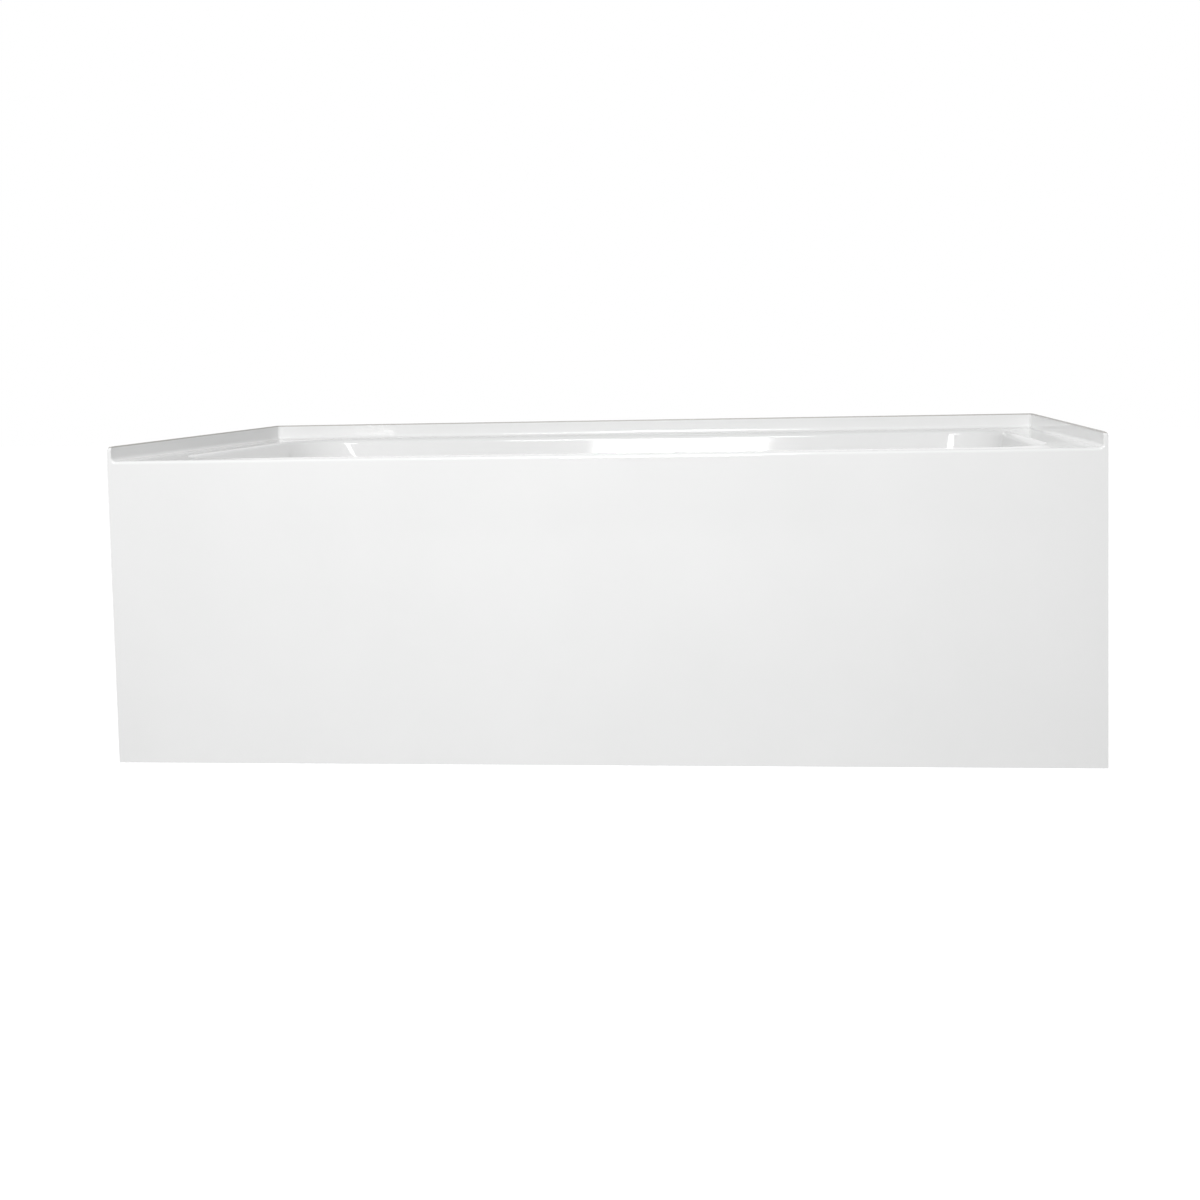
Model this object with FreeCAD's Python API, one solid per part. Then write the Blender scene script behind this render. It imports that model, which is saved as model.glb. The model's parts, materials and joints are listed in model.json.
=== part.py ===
import FreeCAD, Part
import math
import os

# Alcove bathtub: moulded acrylic basin, deck and tiling flange in one sheet, flat front skirt,
# backrest at the left and lever-worked pop-up waste at the right. Millimetres.
# Origin: middle of the footprint, on the floor. +X to the waste end, +Y to the back wall, +Z up.

Vector = FreeCAD.Vector
X_AXIS = Vector(1, 0, 0)
Y_AXIS = Vector(0, 1, 0)
Z_AXIS = Vector(0, 0, 1)

# Footprint and heights
LENGTH = 1524.0
WIDTH = 813.0
DECK_HEIGHT = 476.0
FLOOR_HEIGHT = 100.0         # basin's floor above the room's, for board, rails and waste
FLANGE_RISE = 28.0           # tiling flange above the deck, at the back
FLANGE_DROOP = 5.0           # how much lower the side flanges are at the front

# Moulded sheet
SHEET = 5.0                  # acrylic
LAMINATE = 3.0               # fibreglass under the basin
LAMINATE_EDGE = 40.0         # laminate stops this far below the deck
FLANGE_WALL = 7.0
FLANGE_COVE = 6.0            # hollow round between flange and deck
FLANGE_TOP_ROUND = 4.0
LIP_DROP = 24.0              # rolled front edge
LIP_ROUND = 5.0

# Basin
DECK_LEFT = 72.0
DECK_RIGHT = 77.0
DECK_FRONT = 58.0
DECK_BACK = 58.0
BACKREST_ANGLE = 28.0
SIDE_DRAFT = 7.0
WASTE_END_DRAFT = 6.0
LUMBAR_SWELL = 12.0          # backrest bulges this far into the basin
BACKREST_CORNER = 120.0
WASTE_END_CORNER = 100.0
FLOOR_ROUND = 70.0
FLOOR_FALL = 0.3             # degrees, towards the waste
RIM_ROUND = 12.0

# Skirt
SKIRT_WALL = 4.0
SKIRT_RETURN = 38.0          # turned-in ends
SKIRT_FOOT = 30.0            # turned-in foot
TONGUE = 16.0                # skirt's tongue behind the rolled edge
TONGUE_WALL = 3.0
BATTEN_WALL = 18.0
BATTEN_WIDTH = 62.0
BATTEN_LOW = 64.0
BATTEN_DROP = 122.0          # upper batten's underside below the rolled edge
POST_WIDTH = 38.0

# Cradle
BOARD = 15.0
BOARD_LEFT_INSET = 90.0      # from the foot of the backrest
BOARD_RIGHT_INSET = 60.0     # from the drain's axis
BOARD_SIDE_INSET = 77.0      # from the foot of the side walls
BOARD_CORNER = 25.0
RAIL_LEFT_INSET = 70.0
RAIL_RIGHT_INSET = 100.0
RAIL_WIDTH = 40.0
RAIL_HEIGHT = 30.0
RAIL_WALL = 2.0
RAIL_OVERHANG = 95.0         # rails beyond the board's sides
FOOT_INSET = 30.0            # feet from the rails' ends
STUD_RADIUS = 6.0
STUD_ABOVE_RAIL = 17.0
STUD_GRIP = 17.0             # spanner flats
STUD_GRIP_HEIGHT = 5.0
STUD_EASE = 1.0
PAD_RADIUS = 25.0
PAD_EDGE = 1.5
PAD_RIM = 4.5                # height of the pad's upright rim
PAD_WAIST = 8.0
PAD_NECK = 11.0
PAD_COLLAR_WALL = 5.0
PAD_HEIGHT = 14.0
PAD_SOCKET = 8.0
RUNNING_FIT = 0.05
FOOT_NUT = 19.0
WELD_NUT_HEIGHT = 10.0
JAM_NUT_HEIGHT = 6.0
WOOD_SCREW_RADIUS = 2.0
WOOD_SCREW_HEAD = 4.5
WOOD_SCREW_HEAD_HEIGHT = 2.0
WOOD_SCREW_EASE = 1.0
WOOD_SCREW_LENGTH = 12.0
RAIL_SCREW_PITCH = 180.0
BRACKET_PITCH = 220.0
BRACKET_WIDTH = 40.0
BRACKET_WALL = 3.0
BRACKET_TAB = 38.0
BRACKET_LAP = 45.0           # bracket under the board

# Waste
DRAIN_INSET = 155.0          # drain from the basin's rim at the waste end
WELL_RADIUS = 42.0
WELL_DEPTH = 3.0
DRAIN_HOLE = 24.0
DRAIN_RIM = 38.0
DRAIN_BORE = 19.0
DRAIN_BEVEL = 1.5
DRAIN_LAND = 0.8             # seat's mouth below the flange's top
BARREL_RADIUS = 23.0
BARREL_LENGTH = 27.0
SEAT_TOP = 24.5              # radius of the plug's conical seat at its top
SEAT_DEPTH = 4.5
THREAD_GAP = 0.2
GASKET = 3.0
GASKET_RADIUS = 34.0
GASKET_EASE = 1.0
SHOE_FLANGE = 5.0
SHOE_RADIUS = 26.5
SHOE_SUMP = 1.5              # cup's floor below the level bore
SHOE_FOOT = 7.0              # bevel round the cup's foot
SHOE_COLLAR = 3.0
TUBE_RADIUS = 19.05          # one and a half inch waste tube
TUBE_WALL = 1.8
TUBE_FIT = 0.1
WASTE_DROP = 47.0            # level tube's axis below the drain's seat
FITTING_RADIUS = 21.5
FITTING_ARM = 46.0
SOCKET_DEPTH = 22.0
SPIGOT_END = 3.0             # outlet spigot stops this far above the floor

# Overflow
OVERFLOW_DROP = 86.0         # overflow centre below the deck
OVERFLOW_HOLE = 28.0
OVERFLOW_STANDOFF = 36.0     # upright tube's axis behind the basin's inner face
OVERFLOW_GASKET = 4.0
OVERFLOW_FLANGE = 4.0
OVERFLOW_RIM = 34.0
MOUTH_BORE = 18.5
ELBOW_SOCKET_DROP = 50.0     # elbow's lower end below its bend
NUT_ACROSS = 50.0
NUT_OVERLAP = 12.0
NUT_SHOULDER = 3.0
NUT_GAP = 0.3
WASHER = 3.0
PLATE_RADIUS = 39.0
PLATE_CROWN = 11.0
PLATE_EDGE = 1.5
PLATE_WALL = 1.7
PLATE_SLOT_LENGTH = 14.0
PLATE_SLOT_WIDTH = 9.2
PLATE_SCREW_REACH = 24.0
PLATE_SCREW_RADIUS = 2.0
PLATE_SCREW_HEAD = 4.1
PLATE_SCREW_HEAD_HEIGHT = 2.4
PLATE_SCREW_EASE = 1.0
PLATE_SCREW_TAIL = 2.0       # screw past the elbow's flange
PLATE_BOSS = 5.5
PLATE_BOSS_SEAT = 5.0
WATER_HOLE = 2.6
WATER_HOLE_REACH = 21.0
WATER_HOLE_ANGLES = (110.0, 145.0, 215.0, 250.0)

# Lever, link, rocker and stopper
LEVER_SWING = 25.0
LEVER_PIVOT = 4.0            # pivot inside the basin from the wall's face
LEVER_PIN = 2.0
LEVER_HUB = 4.5
LEVER_HALF_WIDTH = 4.0
EAR_WALL = 2.6
EAR_GAP = 0.6
EAR_HALF_LENGTH = 6.0
HANDLE_LENGTH = 32.0
HANDLE_FLARE = 14.0
HANDLE_TIP = 7.0
HANDLE_THICKNESS = 4.0
ARM_HEIGHT = 7.0
FORK_DEPTH = 9.0
FORK_GAP = 2.3
FORK_NOSE = 4.5
FORK_PIN = 2.0
LINK_OFFSET = 5.0            # link hangs this far from the tube's axis, towards the basin
LINK_RADIUS = 2.0
EYE_THICKNESS = 3.0
EYE_HALF_WIDTH = 6.5
EYE_HALF_HEIGHT = 6.0
EYE_CORNER = 3.0
EYE_PLAY = 1.2
EYE_LIFT_PLAY = 0.3
LINK_NUT = 10.0
LINK_NUT_HEIGHT = 5.0
LINK_TAIL = 9.0              # link below its nut, inside the spring
SPRING_RADIUS = 5.0
SPRING_WIRE = 1.0
SPRING_PITCH = 3.0
SPRING_TURNS = 8
STOPPER_LIFT = 9.0
REST_GAP = 0.3
ROCKER_WALL = 3.0
ROCKER_HALF_WIDTH = 3.0
BOW_RADIUS = 8.0
BOW_CLEARANCE = 0.6
KNOB_RADIUS = 3.0
PADDLE_HALF_WIDTH = 7.0
CAP_RADIUS = 21.5
CAP_CROWN = 6.0
CAP_EDGE = 1.4
PLUG_RADIUS = 17.0
PLUG_DEPTH = 7.5
PLUG_EASE = 1.0
STEM_RADIUS = 4.0
FIN_GAP = 0.3
FIN_WALL = 2.0
FIN_DEPTH = 20.0
FIN_SHOULDER = 4.0           # fins narrow from here up to the plug
RING_RADIUS = 1.8
RING_DROP = 2.65             # sealing ring's middle below the flange's top, plug shut

# Common to several pieces
PAST = 1.0                   # a cut runs this far past the face it leaves by
HEX_EASE = 0.6               # share of a hexagon's corner that is eased

# Places that follow from the sizes above
BASIN_DEPTH = DECK_HEIGHT - FLOOR_HEIGHT
LEFT = -LENGTH / 2
RIGHT = LENGTH / 2
FRONT = -WIDTH / 2
BACK = WIDTH / 2
DECK_UNDER = DECK_HEIGHT - SHEET
FLANGE_TOP = DECK_HEIGHT + FLANGE_RISE
LIP_BOTTOM = DECK_HEIGHT - LIP_DROP
RIM_LEFT = LEFT + DECK_LEFT
RIM_RIGHT = RIGHT - DECK_RIGHT
RIM_FRONT = FRONT + DECK_FRONT
RIM_BACK = BACK - DECK_BACK
BASIN_Y = (RIM_FRONT + RIM_BACK) / 2
FLOOR = DECK_HEIGHT - BASIN_DEPTH
WELL_FLOOR = FLOOR - WELL_DEPTH
WELL_UNDER = WELL_FLOOR - SHEET
BOARD_TOP = FLOOR - SHEET - LAMINATE
BOARD_UNDER = BOARD_TOP - BOARD
RAIL_UNDER_WEB = BOARD_UNDER - RAIL_WALL
BATTEN_HIGH = LIP_BOTTOM - BATTEN_DROP
BATTEN_BACK = FRONT + SKIRT_WALL + BATTEN_WALL
DRAIN_X = RIM_RIGHT - DRAIN_INSET
WASTE_LINE = WELL_FLOOR - WASTE_DROP

FLOOR_LEFT = RIM_LEFT + BASIN_DEPTH * math.tan(math.radians(BACKREST_ANGLE))
FLOOR_HALF_WIDTH = (RIM_BACK - RIM_FRONT) / 2 - BASIN_DEPTH * math.tan(math.radians(SIDE_DRAFT))
BOARD_LEFT = FLOOR_LEFT + BOARD_LEFT_INSET
BOARD_RIGHT = DRAIN_X - BOARD_RIGHT_INSET
BOARD_MIDDLE = (BOARD_LEFT + BOARD_RIGHT) / 2
BOARD_HALF_WIDTH = FLOOR_HALF_WIDTH - BOARD_SIDE_INSET
RAIL_PLACES = (BOARD_LEFT + RAIL_LEFT_INSET, BOARD_RIGHT - RAIL_RIGHT_INSET)
RAIL_HALF_LENGTH = BOARD_HALF_WIDTH + RAIL_OVERHANG
FOOT_REACH = RAIL_HALF_LENGTH - FOOT_INSET
BRACKET_PLACES = (BOARD_MIDDLE - BRACKET_PITCH, BOARD_MIDDLE, BOARD_MIDDLE + BRACKET_PITCH)

TUBE_BORE = TUBE_RADIUS - TUBE_WALL
SOCKET_RADIUS = TUBE_RADIUS + TUBE_FIT
FIN_RADIUS = DRAIN_BORE - FIN_GAP

OVERFLOW_Z = DECK_HEIGHT - OVERFLOW_DROP
WALL_LEAN = math.radians(WASTE_END_DRAFT)
OVERFLOW_X = RIM_RIGHT - OVERFLOW_DROP * math.tan(WALL_LEAN)
OVERFLOW_POINT = Vector(OVERFLOW_X, BASIN_Y, OVERFLOW_Z)
OVERFLOW_NORMAL = Vector(-math.cos(WALL_LEAN), 0, math.sin(WALL_LEAN))
TEE_X = OVERFLOW_X + OVERFLOW_STANDOFF
ELBOW_Z = OVERFLOW_Z - OVERFLOW_STANDOFF * math.tan(WALL_LEAN)
ELBOW_END = ELBOW_Z - ELBOW_SOCKET_DROP
PLATE_SCREW_END = -SHEET - LAMINATE - OVERFLOW_GASKET - OVERFLOW_FLANGE - PLATE_SCREW_TAIL
TEE_TOP = WASTE_LINE + FITTING_ARM
TEE_LEFT = TEE_X - FITTING_ARM
SHOE_RIGHT = DRAIN_X + FITTING_ARM

PIVOT_POINT = OVERFLOW_POINT + OVERFLOW_NORMAL * LEVER_PIVOT
LINK_X = TEE_X - LINK_OFFSET
HALF_SWING = math.radians(LEVER_SWING / 2)
ARM_LENGTH = (LINK_X - PIVOT_POINT.x) * 2 / (1 + math.cos(HALF_SWING))
LINK_TRAVEL = 2 * ARM_LENGTH * math.sin(HALF_SWING)
EYE_Z = PIVOT_POINT.z - LINK_TRAVEL / 2
ROCKER_LONG = (LINK_X - DRAIN_X) * LINK_TRAVEL / (LINK_TRAVEL + STOPPER_LIFT)
ROCKER_SHORT = LINK_X - DRAIN_X - ROCKER_LONG
ROCKER_TURN = math.degrees(LINK_TRAVEL / ROCKER_LONG)
ROCKER_POINT = Vector(DRAIN_X + ROCKER_SHORT, BASIN_Y, WASTE_LINE - TUBE_BORE + BOW_CLEARANCE + BOW_RADIUS)
ROCKER_RISE = WASTE_LINE - ROCKER_POINT.z


def upright(radius, low, high, x=0.0, y=0.0):
    """Vertical cylinder between two heights."""
    return Part.makeCylinder(radius, high - low, Vector(x, y, low), Z_AXIS)


def box(x_low, x_high, y_low, y_high, z_low, z_high):
    return Part.makeBox(x_high - x_low, y_high - y_low, z_high - z_low, Vector(x_low, y_low, z_low))


def face_of(edges):
    return Part.Face(Part.Wire(Part.__sortEdges__(edges)))


def polygon_face(points):
    return Part.Face(Part.makePolygon(points + [points[0]]))


def turned(profile):
    """Solid of revolution about Z from (radius, height) points."""
    points = [Vector(radius, 0, height) for radius, height in profile]
    return polygon_face(points).revolve(Vector(), Z_AXIS, 360)


def hexagon(across, low, high):
    """Hexagonal prism on the Z axis, its corners eased by a cone at both ends."""
    corner = across / math.sqrt(3)
    points = [Vector(corner * math.cos(math.radians(a)), corner * math.sin(math.radians(a)), low)
              for a in range(30, 390, 60)]
    prism = polygon_face(points).extrude(Z_AXIS * (high - low))
    ease = (corner - across / 2) * HEX_EASE
    rounding = turned([(0, low), (across / 2, low), (corner, low + ease), (corner, high - ease),
                       (across / 2, high), (0, high)])
    return prism.common(rounding)


def placed(shape, point, direction):
    """Copy of a shape made on the Z axis, moved to a point and aimed along a direction."""
    copy = shape.copy()
    aimed = FreeCAD.Placement(point, FreeCAD.Rotation(Z_AXIS, direction))
    copy.Placement = aimed.multiply(copy.Placement)
    return copy


def moved(shape, x=0.0, y=0.0, z=0.0):
    copy = shape.copy()
    copy.translate(Vector(x, y, z))
    return copy


def on_overflow(shape):
    """Place a shape whose Z axis points out of the basin's end wall, with Z = 0 on the wall's face."""
    return placed(shape, OVERFLOW_POINT, OVERFLOW_NORMAL)


def corner_arc(x, y, radius, start, z):
    """Quarter arc in plan about (x, y), from a start angle in degrees."""
    angles = [math.radians(start + turn) for turn in (0, 45, 90)]
    points = [Vector(x + radius * math.cos(a), y + radius * math.sin(a), z) for a in angles]
    return Part.Arc(*points).toShape()


def rounded_outline(left, right, front, back, left_round, right_round, z):
    """Rectangle in plan whose two ends have their own corner radii, as a closed wire of 8 edges."""
    arcs = [corner_arc(right - right_round, front + right_round, right_round, -90, z),
            corner_arc(right - right_round, back - right_round, right_round, 0, z),
            corner_arc(left + left_round, back - left_round, left_round, 90, z),
            corner_arc(left + left_round, front + left_round, left_round, 180, z)]
    edges = []
    for number, arc in enumerate(arcs):
        following = arcs[(number + 1) % len(arcs)]
        edges.append(arc)
        edges.append(Part.makeLine(arc.lastVertex().Point, following.firstVertex().Point))
    return Part.Wire(edges)


def basin_section(depth, grow):
    """Basin outline at a depth below the deck, grown outwards by a wall thickness."""
    share = min(max(depth / BASIN_DEPTH, 0.0), 1.0)
    backrest = math.radians(BACKREST_ANGLE)
    side = math.radians(SIDE_DRAFT)
    swell = LUMBAR_SWELL * math.sin(math.pi * share)
    left = RIM_LEFT + depth * math.tan(backrest) + swell - grow / math.cos(backrest)
    right = RIM_RIGHT - depth * math.tan(WALL_LEAN) + grow / math.cos(WALL_LEAN)
    inset = depth * math.tan(side) - grow / math.cos(side)
    return rounded_outline(left, right, RIM_FRONT + inset, RIM_BACK - inset,
                           BACKREST_CORNER + grow, WASTE_END_CORNER + grow, DECK_HEIGHT - depth)


def basin_core(grow, floor_depth, fall):
    """Solid the shape of the basin's hollow, grown by a wall, with its floor falling to the waste."""
    above = 2 * FLANGE_RISE
    depths = [-above, 0.0, BASIN_DEPTH / 3, BASIN_DEPTH * 2 / 3, floor_depth]
    sections = [basin_section(depth, grow) for depth in depths]
    sections[-1].rotate(Vector(DRAIN_X, BASIN_Y, DECK_HEIGHT - floor_depth), Y_AXIS, fall)
    core = Part.makeLoft(sections, True, False)
    floor_face = min(core.Faces, key=lambda face: face.CenterOfMass.z)
    return core.makeFillet(FLOOR_ROUND + grow, floor_face.Edges)


def overflow_hole():
    return on_overflow(upright(OVERFLOW_HOLE, -4 * SHEET, 4 * SHEET))


def deck_with_lip():
    """Deck and rolled front edge: one bent sheet, drawn in section and run the tub's length."""
    y_lip = FRONT + SHEET
    points = {
        "lip_foot": Vector(LEFT, FRONT, LIP_BOTTOM),
        "roll_start": Vector(LEFT, FRONT, DECK_HEIGHT - LIP_ROUND),
        "roll_end": Vector(LEFT, FRONT + LIP_ROUND, DECK_HEIGHT),
        "back_top": Vector(LEFT, BACK, DECK_HEIGHT),
        "back_under": Vector(LEFT, BACK, DECK_UNDER),
        "inner_corner": Vector(LEFT, y_lip, DECK_UNDER),
        "lip_back": Vector(LEFT, y_lip, LIP_BOTTOM),
    }
    eighth = LIP_ROUND * (1 - math.sqrt(0.5))
    roll_middle = Vector(LEFT, FRONT + eighth, DECK_HEIGHT - eighth)
    roll = Part.Arc(points["roll_start"], roll_middle, points["roll_end"]).toShape()
    around = [Part.makeLine(points["lip_foot"], points["roll_start"]), roll]
    straight = ["roll_end", "back_top", "back_under", "inner_corner", "lip_back", "lip_foot"]
    around += [Part.makeLine(points[a], points[b]) for a, b in zip(straight, straight[1:])]
    return Part.Face(Part.Wire(around)).extrude(X_AXIS * LENGTH)


def flange():
    """Upstand on three sides; the side walls droop a little and end flush with the skirt."""
    outer = box(LEFT, RIGHT, FRONT, BACK, DECK_UNDER, FLANGE_TOP)
    top_edges = [edge for edge in outer.Edges
                 if edge.CenterOfMass.z > FLANGE_TOP - 1 and edge.CenterOfMass.y > FRONT + 1]
    outer = outer.makeFillet(FLANGE_TOP_ROUND, top_edges)
    front_legs = box(LEFT, RIGHT, FRONT, FRONT + SHEET, LIP_BOTTOM, DECK_UNDER)
    inside = box(LEFT + FLANGE_WALL, RIGHT - FLANGE_WALL, FRONT - PAST, BACK - FLANGE_WALL,
                 LIP_BOTTOM - PAST, FLANGE_TOP + PAST)
    walls = outer.fuse(front_legs).cut(inside)
    droop = math.degrees(math.atan2(FLANGE_DROOP, WIDTH))
    walls_upper = walls.copy()
    walls_upper.rotate(Vector(0, BACK, FLANGE_TOP), X_AXIS, droop)
    walls_upper = walls_upper.common(box(LEFT, RIGHT, FRONT, BACK, DECK_HEIGHT - PAST, FLANGE_TOP + PAST))
    walls_lower = walls.common(box(LEFT, RIGHT, FRONT, BACK, LIP_BOTTOM, DECK_HEIGHT - PAST))
    return walls_lower.fuse(walls_upper)


def cove_section(corner, inward, up, depth):
    """Hollow-round fillet in section: a square corner less a quarter circle."""
    toe = corner + inward * FLANGE_COVE
    head = corner + up * FLANGE_COVE
    middle = corner + (inward + up) * (FLANGE_COVE * (1 - math.sqrt(0.5)))
    below = corner - up * depth
    edges = [Part.makeLine(below, toe - up * depth), Part.makeLine(toe - up * depth, toe),
             Part.Arc(toe, middle, head).toShape(), Part.makeLine(head, below)]
    return Part.Face(Part.Wire(edges))


def flange_coves():
    """Hollow rounds where the flange meets the deck, and up its two inner corners."""
    x_wall = RIGHT - FLANGE_WALL
    y_wall = BACK - FLANGE_WALL
    half_sheet = SHEET / 2
    back = cove_section(Vector(-x_wall, y_wall, DECK_HEIGHT), -Y_AXIS, Z_AXIS, half_sheet)
    coves = [back.extrude(X_AXIS * (2 * x_wall))]
    for side in (-1, 1):
        corner = Vector(side * x_wall, FRONT, DECK_HEIGHT)
        along = cove_section(corner, X_AXIS * -side, Z_AXIS, LIP_ROUND)
        coves.append(along.extrude(Y_AXIS * (y_wall - FRONT)))
        post = cove_section(Vector(side * x_wall, y_wall, DECK_HEIGHT), X_AXIS * -side, -Y_AXIS, 0.1)
        coves.append(post.extrude(Z_AXIS * (FLANGE_RISE - FLANGE_TOP_ROUND)))
    return coves


def rim_edges(shape, height):
    """Edges of the basin's mouth that lie at one height."""
    found = []
    for edge in shape.Edges:
        bounds = edge.BoundBox
        level = abs(bounds.ZMin - height) < 0.01 and abs(bounds.ZMax - height) < 0.01
        inside = bounds.XMin > RIM_LEFT - 2 * SHEET and bounds.XMax < RIM_RIGHT + 2 * SHEET
        if level and inside and bounds.YMin > RIM_FRONT - 2 * SHEET and bounds.YMax < RIM_BACK + 2 * SHEET:
            found.append(edge)
    return found


def tub_shell():
    """Basin, deck, rolled edge and flange as one sheet of even thickness."""
    below_deck = box(LEFT, RIGHT, FRONT, BACK, 0, DECK_HEIGHT - SHEET / 2)
    skin = basin_core(SHEET, BASIN_DEPTH + SHEET, FLOOR_FALL).common(below_deck)
    well = upright(WELL_RADIUS + SHEET, WELL_UNDER, FLOOR, DRAIN_X, BASIN_Y)
    body = deck_with_lip().fuse([flange(), skin, well] + flange_coves()).removeSplitter()
    body = body.makeFillet(RIM_ROUND - SHEET, rim_edges(body, DECK_UNDER))
    body = body.cut(basin_core(0.0, BASIN_DEPTH, FLOOR_FALL))
    body = body.makeFillet(RIM_ROUND, rim_edges(body, DECK_HEIGHT))
    body = body.cut(upright(WELL_RADIUS, WELL_FLOOR, FLOOR + WELL_DEPTH, DRAIN_X, BASIN_Y))
    body = body.cut(upright(DRAIN_HOLE, WELL_UNDER - PAST, FLOOR, DRAIN_X, BASIN_Y))
    return body.cut(overflow_hole())


def fibreglass_backing():
    """Laminate on the basin's outside, laid up level under the floor to take the board."""
    below_edge = box(LEFT, RIGHT, FRONT, BACK, 0, DECK_HEIGHT - LAMINATE_EDGE)
    outside = basin_core(SHEET + LAMINATE, BASIN_DEPTH + SHEET + LAMINATE, 0.0).common(below_edge)
    backing = outside.cut(basin_core(SHEET, BASIN_DEPTH + SHEET, FLOOR_FALL))
    backing = backing.cut(upright(WELL_RADIUS + SHEET, WELL_UNDER - PAST, FLOOR, DRAIN_X, BASIN_Y))
    return backing.cut(overflow_hole())


def apron_panel():
    """Flat skirt: flush with the rolled edge, a tongue behind it, foot and ends turned in."""
    face_back = FRONT + SKIRT_WALL
    tongue_front = FRONT + SHEET
    tongue_back = tongue_front + TONGUE_WALL
    section = [(FRONT, 0), (FRONT, LIP_BOTTOM), (tongue_front, LIP_BOTTOM),
               (tongue_front, LIP_BOTTOM + TONGUE), (tongue_back, LIP_BOTTOM + TONGUE),
               (tongue_back, LIP_BOTTOM - TONGUE), (face_back, LIP_BOTTOM - TONGUE - SKIRT_WALL),
               (face_back, SKIRT_WALL), (FRONT + SKIRT_FOOT, SKIRT_WALL), (FRONT + SKIRT_FOOT, 0)]
    tongue_half = LENGTH / 2 - FLANGE_WALL - FLANGE_COVE
    panel = polygon_face([Vector(LEFT, y, z) for y, z in section]).extrude(X_AXIS * LENGTH)
    for side in (-1, 1):
        low, high = sorted((side * tongue_half, side * (RIGHT + PAST)))
        panel = panel.cut(box(low, high, FRONT - PAST, tongue_back + PAST, LIP_BOTTOM, DECK_HEIGHT))
        low, high = sorted((side * (RIGHT - SKIRT_WALL), side * RIGHT))
        panel = panel.fuse(box(low, high, FRONT, FRONT + SKIRT_RETURN, 0, LIP_BOTTOM))
    return panel.removeSplitter()


def apron_battens():
    """Two level battens between two end posts, bonded to the skirt's back."""
    y_low = FRONT + SKIRT_WALL
    post_outer = RIGHT - SKIRT_WALL
    post_inner = post_outer - POST_WIDTH
    post_top = LIP_BOTTOM - TONGUE - SKIRT_WALL
    solids = [box(-post_inner, post_inner, y_low, BATTEN_BACK, low, low + BATTEN_WIDTH)
              for low in (BATTEN_LOW, BATTEN_HIGH)]
    for side in (-1, 1):
        low, high = sorted((side * post_inner, side * post_outer))
        solids.append(box(low, high, y_low, BATTEN_BACK, SKIRT_WALL, post_top))
    screws = Part.makeCompound(bracket_screw_set())
    return Part.makeCompound([solid.cut(screws) for solid in solids])


def wood_screw():
    """Pan-head screw on the Z axis: head below Z = 0, shank above it."""
    low = -WOOD_SCREW_HEAD_HEIGHT
    head = turned([(0, low), (WOOD_SCREW_HEAD - WOOD_SCREW_EASE, low),
                   (WOOD_SCREW_HEAD, low + WOOD_SCREW_EASE), (WOOD_SCREW_HEAD, 0), (0, 0)])
    return head.fuse(upright(WOOD_SCREW_RADIUS, 0, WOOD_SCREW_LENGTH)).removeSplitter()


def rail_screw_set():
    return [moved(wood_screw(), x, BASIN_Y + y, RAIL_UNDER_WEB)
            for x in RAIL_PLACES for y in (-RAIL_SCREW_PITCH, 0, RAIL_SCREW_PITCH)]


def bracket_screw_set():
    """One screw up into the board and one forward into the batten, for each bracket."""
    screws = []
    board_y = BASIN_Y - BOARD_HALF_WIDTH + BRACKET_LAP / 2
    for x in BRACKET_PLACES:
        screws.append(moved(wood_screw(), x, board_y, BOARD_UNDER - BRACKET_WALL))
        point = Vector(x, BATTEN_BACK + BRACKET_WALL, BOARD_UNDER + BRACKET_TAB / 2)
        screws.append(placed(wood_screw(), point, -Y_AXIS))
    return screws


def base_board():
    """Board under the basin's floor, its corners rounded, drilled for the screws."""
    outline = rounded_outline(BOARD_LEFT, BOARD_RIGHT, BASIN_Y - BOARD_HALF_WIDTH,
                              BASIN_Y + BOARD_HALF_WIDTH, BOARD_CORNER, BOARD_CORNER, BOARD_UNDER)
    board = Part.Face(outline).extrude(Z_AXIS * BOARD)
    return board.cut(rail_screw_set() + bracket_screw_set())


def support_rails():
    """Inverted channels across the tub, drilled for feet and screws."""
    rails = []
    for x in RAIL_PLACES:
        y_low = BASIN_Y - RAIL_HALF_LENGTH
        y_high = BASIN_Y + RAIL_HALF_LENGTH
        low = BOARD_UNDER - RAIL_HEIGHT
        rail = box(x - RAIL_WIDTH / 2, x + RAIL_WIDTH / 2, y_low, y_high, low, BOARD_UNDER)
        along = [edge for edge in rail.Edges
                 if edge.CenterOfMass.z > BOARD_UNDER - 1 and abs(edge.CenterOfMass.y - BASIN_Y) < 1]
        rail = rail.makeFillet(2 * RAIL_WALL, along)
        inner = RAIL_WIDTH / 2 - RAIL_WALL
        hollow = box(x - inner, x + inner, y_low - PAST, y_high + PAST, low - PAST, RAIL_UNDER_WEB)
        top = [edge for edge in hollow.Edges
               if edge.CenterOfMass.z > RAIL_UNDER_WEB - 1 and abs(edge.CenterOfMass.y - BASIN_Y) < 1]
        rail = rail.cut(hollow.makeFillet(RAIL_WALL, top))
        for side in (-1, 1):
            y = BASIN_Y + side * FOOT_REACH
            rail = rail.cut(upright(STUD_RADIUS + RUNNING_FIT, low, BOARD_UNDER + PAST, x, y))
        rails.append(rail.cut(rail_screw_set()))
    return Part.makeCompound(rails)


def foot_places():
    """Name and plan position of each foot."""
    names = {}
    for x, end in zip(RAIL_PLACES, ("left", "right")):
        for side, row in ((-1, "front"), (1, "back")):
            names[row + "_" + end] = (x, BASIN_Y + side * FOOT_REACH)
    return names


def foot_nuts(low, height):
    """A hexagon nut round each foot's stud."""
    nut = hexagon(FOOT_NUT, low, low + height)
    nut = nut.cut(upright(STUD_RADIUS + RUNNING_FIT, low - PAST, low + height + PAST))
    return Part.makeCompound([moved(nut, x, y) for x, y in foot_places().values()])


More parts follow.
